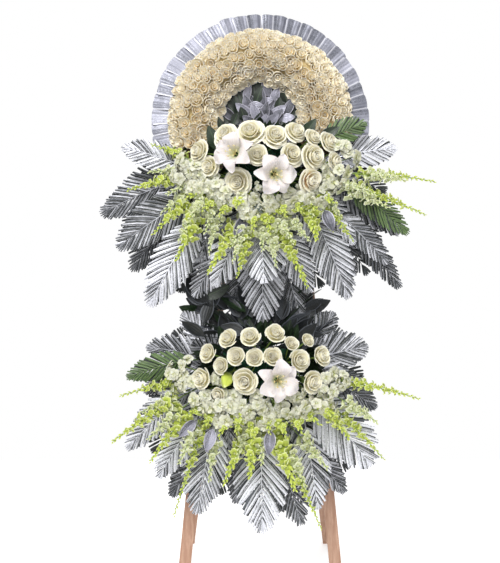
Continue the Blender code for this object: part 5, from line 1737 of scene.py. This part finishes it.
    def bud(self, key: str, hub: Hub, items: Sequence[Leaf]) -> None:
        """Closed lily buds, each in the place of one leaf."""
        draft = Draft()
        for start, leaf in self._started(hub, tips_of(items), items):
            root, tip = np.array(leaf.root) * CM, np.array(leaf.tip) * CM
            length = float(np.linalg.norm(tip - root))
            draft.stamp(LilyHead().bud(), Axes.facing(root, tip - root), length, 0.7)
            self._stem(start, root)
        self._shown(draft, key, "buds", LIME_FLORET)

    def _between(self, groups: dict[str, tuple], widest: float = math.radians(60)) -> Iterator[tuple]:
        """Pairs of neighbouring items round the foam, with the hub of the first.

        Args:
            groups: The bunches whose items are paired.
            widest: The widest angle between two tips that still count as neighbours.

        Returns:
            The hub and the two items of each pair.
        """
        full = 2 * math.pi
        placed = [
            (math.atan2(item.tip[2], item.tip[0]) % full, hub, item)
            for hub, items in groups.values() for item in items
        ]
        placed.sort(key=lambda entry: (entry[0] - math.pi / 2) % full)
        for (first_turn, hub, first), (second_turn, _, second) in zip(placed, placed[1:]):
            if (second_turn - first_turn) % full < widest:
                yield hub, first, second

    def backing_fronds(self) -> None:
        """Fronds in a darker silver, painted shade, behind and between the silver ones, and shorter silver
        ones over their stalks.
        """
        inner = Draft()
        palm = Palm(pitch=0.020, rows=4)
        for hub, first, second in self._between(self.plan.fronds):
            middle = (np.array(first.tip) + np.array(second.tip)) / 2
            width = (first.width + second.width) / 2
            start = hub.mouth() * np.array((0.9, 1.0, 0.9))
            far, near = middle * self.backing_reach, middle * self.inner_reach
            far[1] = self.backing_depth
            palm.draw(self.shaded, start, Frond(tuple(far), self.backing_length, width + 2), self.chance)
            near[1] = self.inner_depth + self.chance.normal(0, 1.0)
            palm.draw(inner, start, Frond(tuple(near), self.inner_length, width + 1), self.chance)
        self._extra(self.shaded, "backing_fronds", SHADE_SILVER_PALM)
        self._extra(inner, "inner_fronds", SILVER_PALM)

    def more_spikes(self, forms: Sequence[Draft]) -> None:
        """Shorter snapdragons between the others."""
        draft, short = Draft(), Draft()
        for hub, first, second in self._between(self.plan.spikes):
            for share, reach in self.plan.side_spikes:
                tip = np.array(first.tip) * (1 - share) + np.array(second.tip) * share
                tip = tip * np.array((reach, 1, reach)) + self.chance.normal(0, 1.0, 3)
                spike = Spike(tuple(tip), 12 + 3 * share, 2.3)
                SnapdragonSpike().draw(draft, self.stems, forms, hub.mouth(), spike, self.chance)
        self._extra(draft, "side_snapdragons", PALE_FLORET)
        for number in range(self.short_spikes):
            x = -23.4 + 5.2 * number
            z = -13.5 + 0.010 * x * x + self.chance.normal(0, 1.6)
            spike = Spike(tuple(Bloom(x, z, 2.0, 3.0).axes().origin / CM - 4.0 * UP), 10, 2.4)
            start = np.array((x * 0.40 * CM, FOAM_FRONT, -0.06))
            SnapdragonSpike(pitch=0.0105).draw(short, self.stems, forms, start, spike, self.chance)
        self._extra(short, "short_snapdragons", LIME_FLORET)

    def more_whites(self, forms: Sequence[Draft]) -> None:
        """Small white flowers in the gaps of the dome, mostly in its lower half."""
        draft = Draft()
        heads = [b for _, blooms in (*self.plan.roses.values(), self.plan.lilies) for b in blooms]
        for x, z in scattered(self.plan.gap_flowers, 27.0, 15.5, 0.4):
            z -= 1.0
            room = min(math.hypot(x - b.x, z - b.z) - 0.75 * b.radius for b in heads)
            if room < 1.2 or (z > 1.5 and (self.plan.below or self.chance.random() < 0.7)):
                continue
            axes = Bloom(x, z, 2.0, -1.2 + self.chance.normal(0, 0.8)).axes()
            radius = min(room, 2.7) * CM
            start = np.array((x * 0.40 * CM, FOAM_FRONT, z * 0.45 * CM))
            self._stem(start, axes.place(-0.3 * radius * UP), STEM_RADIUS * 0.6)
            self._cluster(draft, axes, radius, forms)
        self._extra(draft, "gap_flowers", SMALL_WHITE)

    def crown(self) -> None:
        """Dark broad leaves over the foam, some in a darkened silver, some dark green, as painted shade that
        closes the space between the tiers.
        """
        shade_leaves, green = Draft(), Draft()
        maker = BroadLeaf(rows=7, columns=5)
        mouth = Hub("top", 0.0, -4.5).mouth()
        for number in range(self.crown_leaves):
            level, far, deep = (strewn(number, stride) for stride in STRIDES)
            turn = math.radians(22 + 136 * level)
            reach = 0.105 + 0.29 * far * math.sin(turn) ** 1.2
            depth = -0.028 - 0.105 * deep
            out = np.array((math.cos(turn) * 1.25, 0, math.sin(turn)))
            tip = np.array((0, depth, 0.055)) + out * reach + self.chance.normal(0, 0.008, 3)
            tip[1] = min(tip[1] + 0.12 * float(smooth(tip[2], 0.16, 0.26)), -0.028)
            step = number - self.crown_leaves + self.leg_leaves
            if step >= 0:
                tip = np.array((-0.158 + 0.028 * (step % 4), -0.050, 0.205 + 0.042 * (step // 4)))
            length = self.chance.uniform(0.075, 0.105)
            root = tip - unit(out + self.chance.normal(0, 0.25, 3)) * length
            facing = unit(FORWARD + self.chance.normal(0, 0.35, 3))
            target = green if number % 5 == 2 else shade_leaves
            tint = self.chance.uniform(0, 0.9)
            maker.draw(target, mouth, root, tip, length * 0.52, facing, self.chance, tint)
        self._extra(shade_leaves, "crown_leaves", SHADE_SILVER_BROAD)
        self._extra(green, "crown_evergreen", EVERGREEN)

    def filler(self) -> None:
        """Evergreen leaves that hide the foam between the flowers, on stalks out of its faces."""
        draft, chance = Draft(), self.chance
        maker = BroadLeaf(rows=7, columns=3)
        for number, (x, z) in enumerate(scattered(self.filler_leaves, 0.235, 0.150)):
            behind = (0.030, 0.052, 0.078)[number % 3] + chance.uniform(0, 0.012)
            tip = np.array((x, min(dome(x, z) + behind, FOAM_FRONT - 0.02), z))
            start = np.array((x * 0.48, FOAM_FRONT, z * 0.50))
            root = start + (tip - start) * 0.45 + np.array((x, 0, z)) * 0.10
            width = chance.uniform(0.024, 0.034)
            facing = unit(np.array((x * 2, -0.3, z * 2)) + chance.normal(0, 0.2, 3))
            tip = tip + chance.normal(0, 0.008, 3)
            maker.draw(draft, start, root, tip, width, facing, chance, chance.uniform(0, 0.7))
        for number in range(self.side_leaves):
            side = ((-1, 0), (1, 0), (0, 1))[number % 3]
            level, deep = (strewn(number // 3, stride) - 0.5 for stride in STRIDES[:2])
            out = np.array((side[0], 0, side[1]))
            along = np.array((side[1] * FOAM[0] * 0.9, 0, abs(side[0]) * FOAM[2] * 0.9)) * level
            depth = FORWARD * (FOAM_MIDDLE - FOAM[1] * deep)
            start = out * FOAM / 2 + along + depth
            spread = unit(out + along * 3 + FORWARD * chance.uniform(0.2, 0.9))
            root = start + spread * 0.020
            tip = root + spread * chance.uniform(0.060, 0.085)
            width = chance.uniform(0.026, 0.036)
            facing = unit(FORWARD + out * chance.uniform(0.2, 1.2))
            maker.draw(draft, start, root, tip, width, facing, chance, chance.uniform(0, 0.7))
        self._extra(draft, "filler_evergreen", EVERGREEN)


UPPER_PLAN = Plan(
    "upper", UPPER_FRONDS, UPPER_GREEN_FRONDS, UPPER_SPIKES, UPPER_ROSES, UPPER_LILIES, UPPER_SMALL_WHITES,
    UPPER_SILVER_LEAVES, UPPER_GREEN_LEAVES, 101, 46, ((0.35, 0.72), (0.7, 0.86)),
)
LOWER_PLAN = Plan(
    "lower", LOWER_FRONDS, LOWER_GREEN_FRONDS, LOWER_SPIKES, LOWER_ROSES, LOWER_LILIES, LOWER_SMALL_WHITES,
    LOWER_SILVER_LEAVES, LOWER_GREEN_LEAVES, 202, 34, ((0.45, 0.84),), True,
)


@dataclass(frozen=True)
class Studio:
    """The plain pale floor, the soft light and the camera."""

    eye: tuple[float, float, float] = (-0.044, -3.611, 1.35)
    target: tuple[float, float, float] = (-0.044, -0.161, 1.07)
    field: float = math.radians(29.8)  # the view's angle from top to bottom
    floor_half: float = 1.7
    fill: float = 0.48  # how bright the white room is as a light; the camera sees it as pure white

    def camera(self) -> None:
        """Sets the camera at the photograph's viewing angle."""
        data = bpy.data.cameras.new("camera")
        data.angle = self.field
        obj = bpy.data.objects.new("camera", data)
        obj.location = self.eye
        obj.rotation_euler = (Vector(self.target) - Vector(self.eye)).to_track_quat("-Z", "Y").to_euler()
        bpy.context.scene.collection.objects.link(obj)
        bpy.context.scene.camera = obj

    def floor(self) -> None:
        """Lays the floor."""
        mesh = bpy.data.meshes.new("studio_floor")
        h = self.floor_half
        mesh.from_pydata([(-h, -h, 0), (h, -h, 0), (h, h, 0), (-h, h, 0)], [], [(0, 1, 2, 3)])
        mesh.materials.append(STUDIO_FLOOR.material())
        obj = bpy.data.objects.new("studio_floor", mesh)
        bpy.context.scene.collection.objects.link(obj)

    def soft_box(self, name: str, place: tuple[float, float, float], size: float, power: float) -> None:
        """Hangs one soft light that looks at the stand."""
        light = bpy.data.lights.new(name, "AREA")
        light.size = size
        light.energy = power
        obj = bpy.data.objects.new(name, light)
        obj.location = place
        obj.rotation_euler = (Vector((0, -0.1, 1.1)) - Vector(place)).to_track_quat("-Z", "Y").to_euler()
        bpy.context.scene.collection.objects.link(obj)

    def light(self) -> None:
        """Lights the stand from above the camera, with a white room all round."""
        world = bpy.data.worlds.new("white_room")
        world.use_nodes = True
        tree = world.node_tree
        seen = add_node(tree, "LightPath", {}, {}).outputs["Is Camera Ray"]
        dimmed = {0: seen, 1: 1.0 - self.fill, 2: self.fill}
        strength = add_node(tree, "Math", {"operation": "MULTIPLY_ADD"}, dimmed).outputs[0]
        tree.nodes["Background"].inputs["Color"].default_value = (1, 1, 1, 1)
        tree.links.new(strength, tree.nodes["Background"].inputs["Strength"])
        bpy.context.scene.world = world
        self.soft_box("key_light", (-1.0, -3.1, 4.4), 1.3, 172.0)
        self.soft_box("front_light", (-0.3, -4.2, 2.3), 1.8, 58.0)
        self.soft_box("side_light", (2.8, -1.8, 2.4), 1.6, 15.0)
        self.soft_box("back_light", (0.5, 3.0, 3.0), 2.0, 50.0)
        bpy.context.scene.view_settings.view_transform = "Standard"


def write_sizes() -> None:
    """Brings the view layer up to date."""
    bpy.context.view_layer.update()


def main() -> None:
    """Builds the whole scene."""
    logging.basicConfig(level=logging.INFO, format="%(message)s")
    studio = Studio()
    studio.camera()
    studio.floor()
    studio.light()
    easel = Easel()
    easel.dress()
    Wreath(easel.leaning_axes("backing_board", -BOARD_DEPTH / 2)).build()
    for plan in (UPPER_PLAN, LOWER_PLAN):
        Tier.of(plan, easel).build()
    write_sizes()


if __name__ == "__main__":
    main()
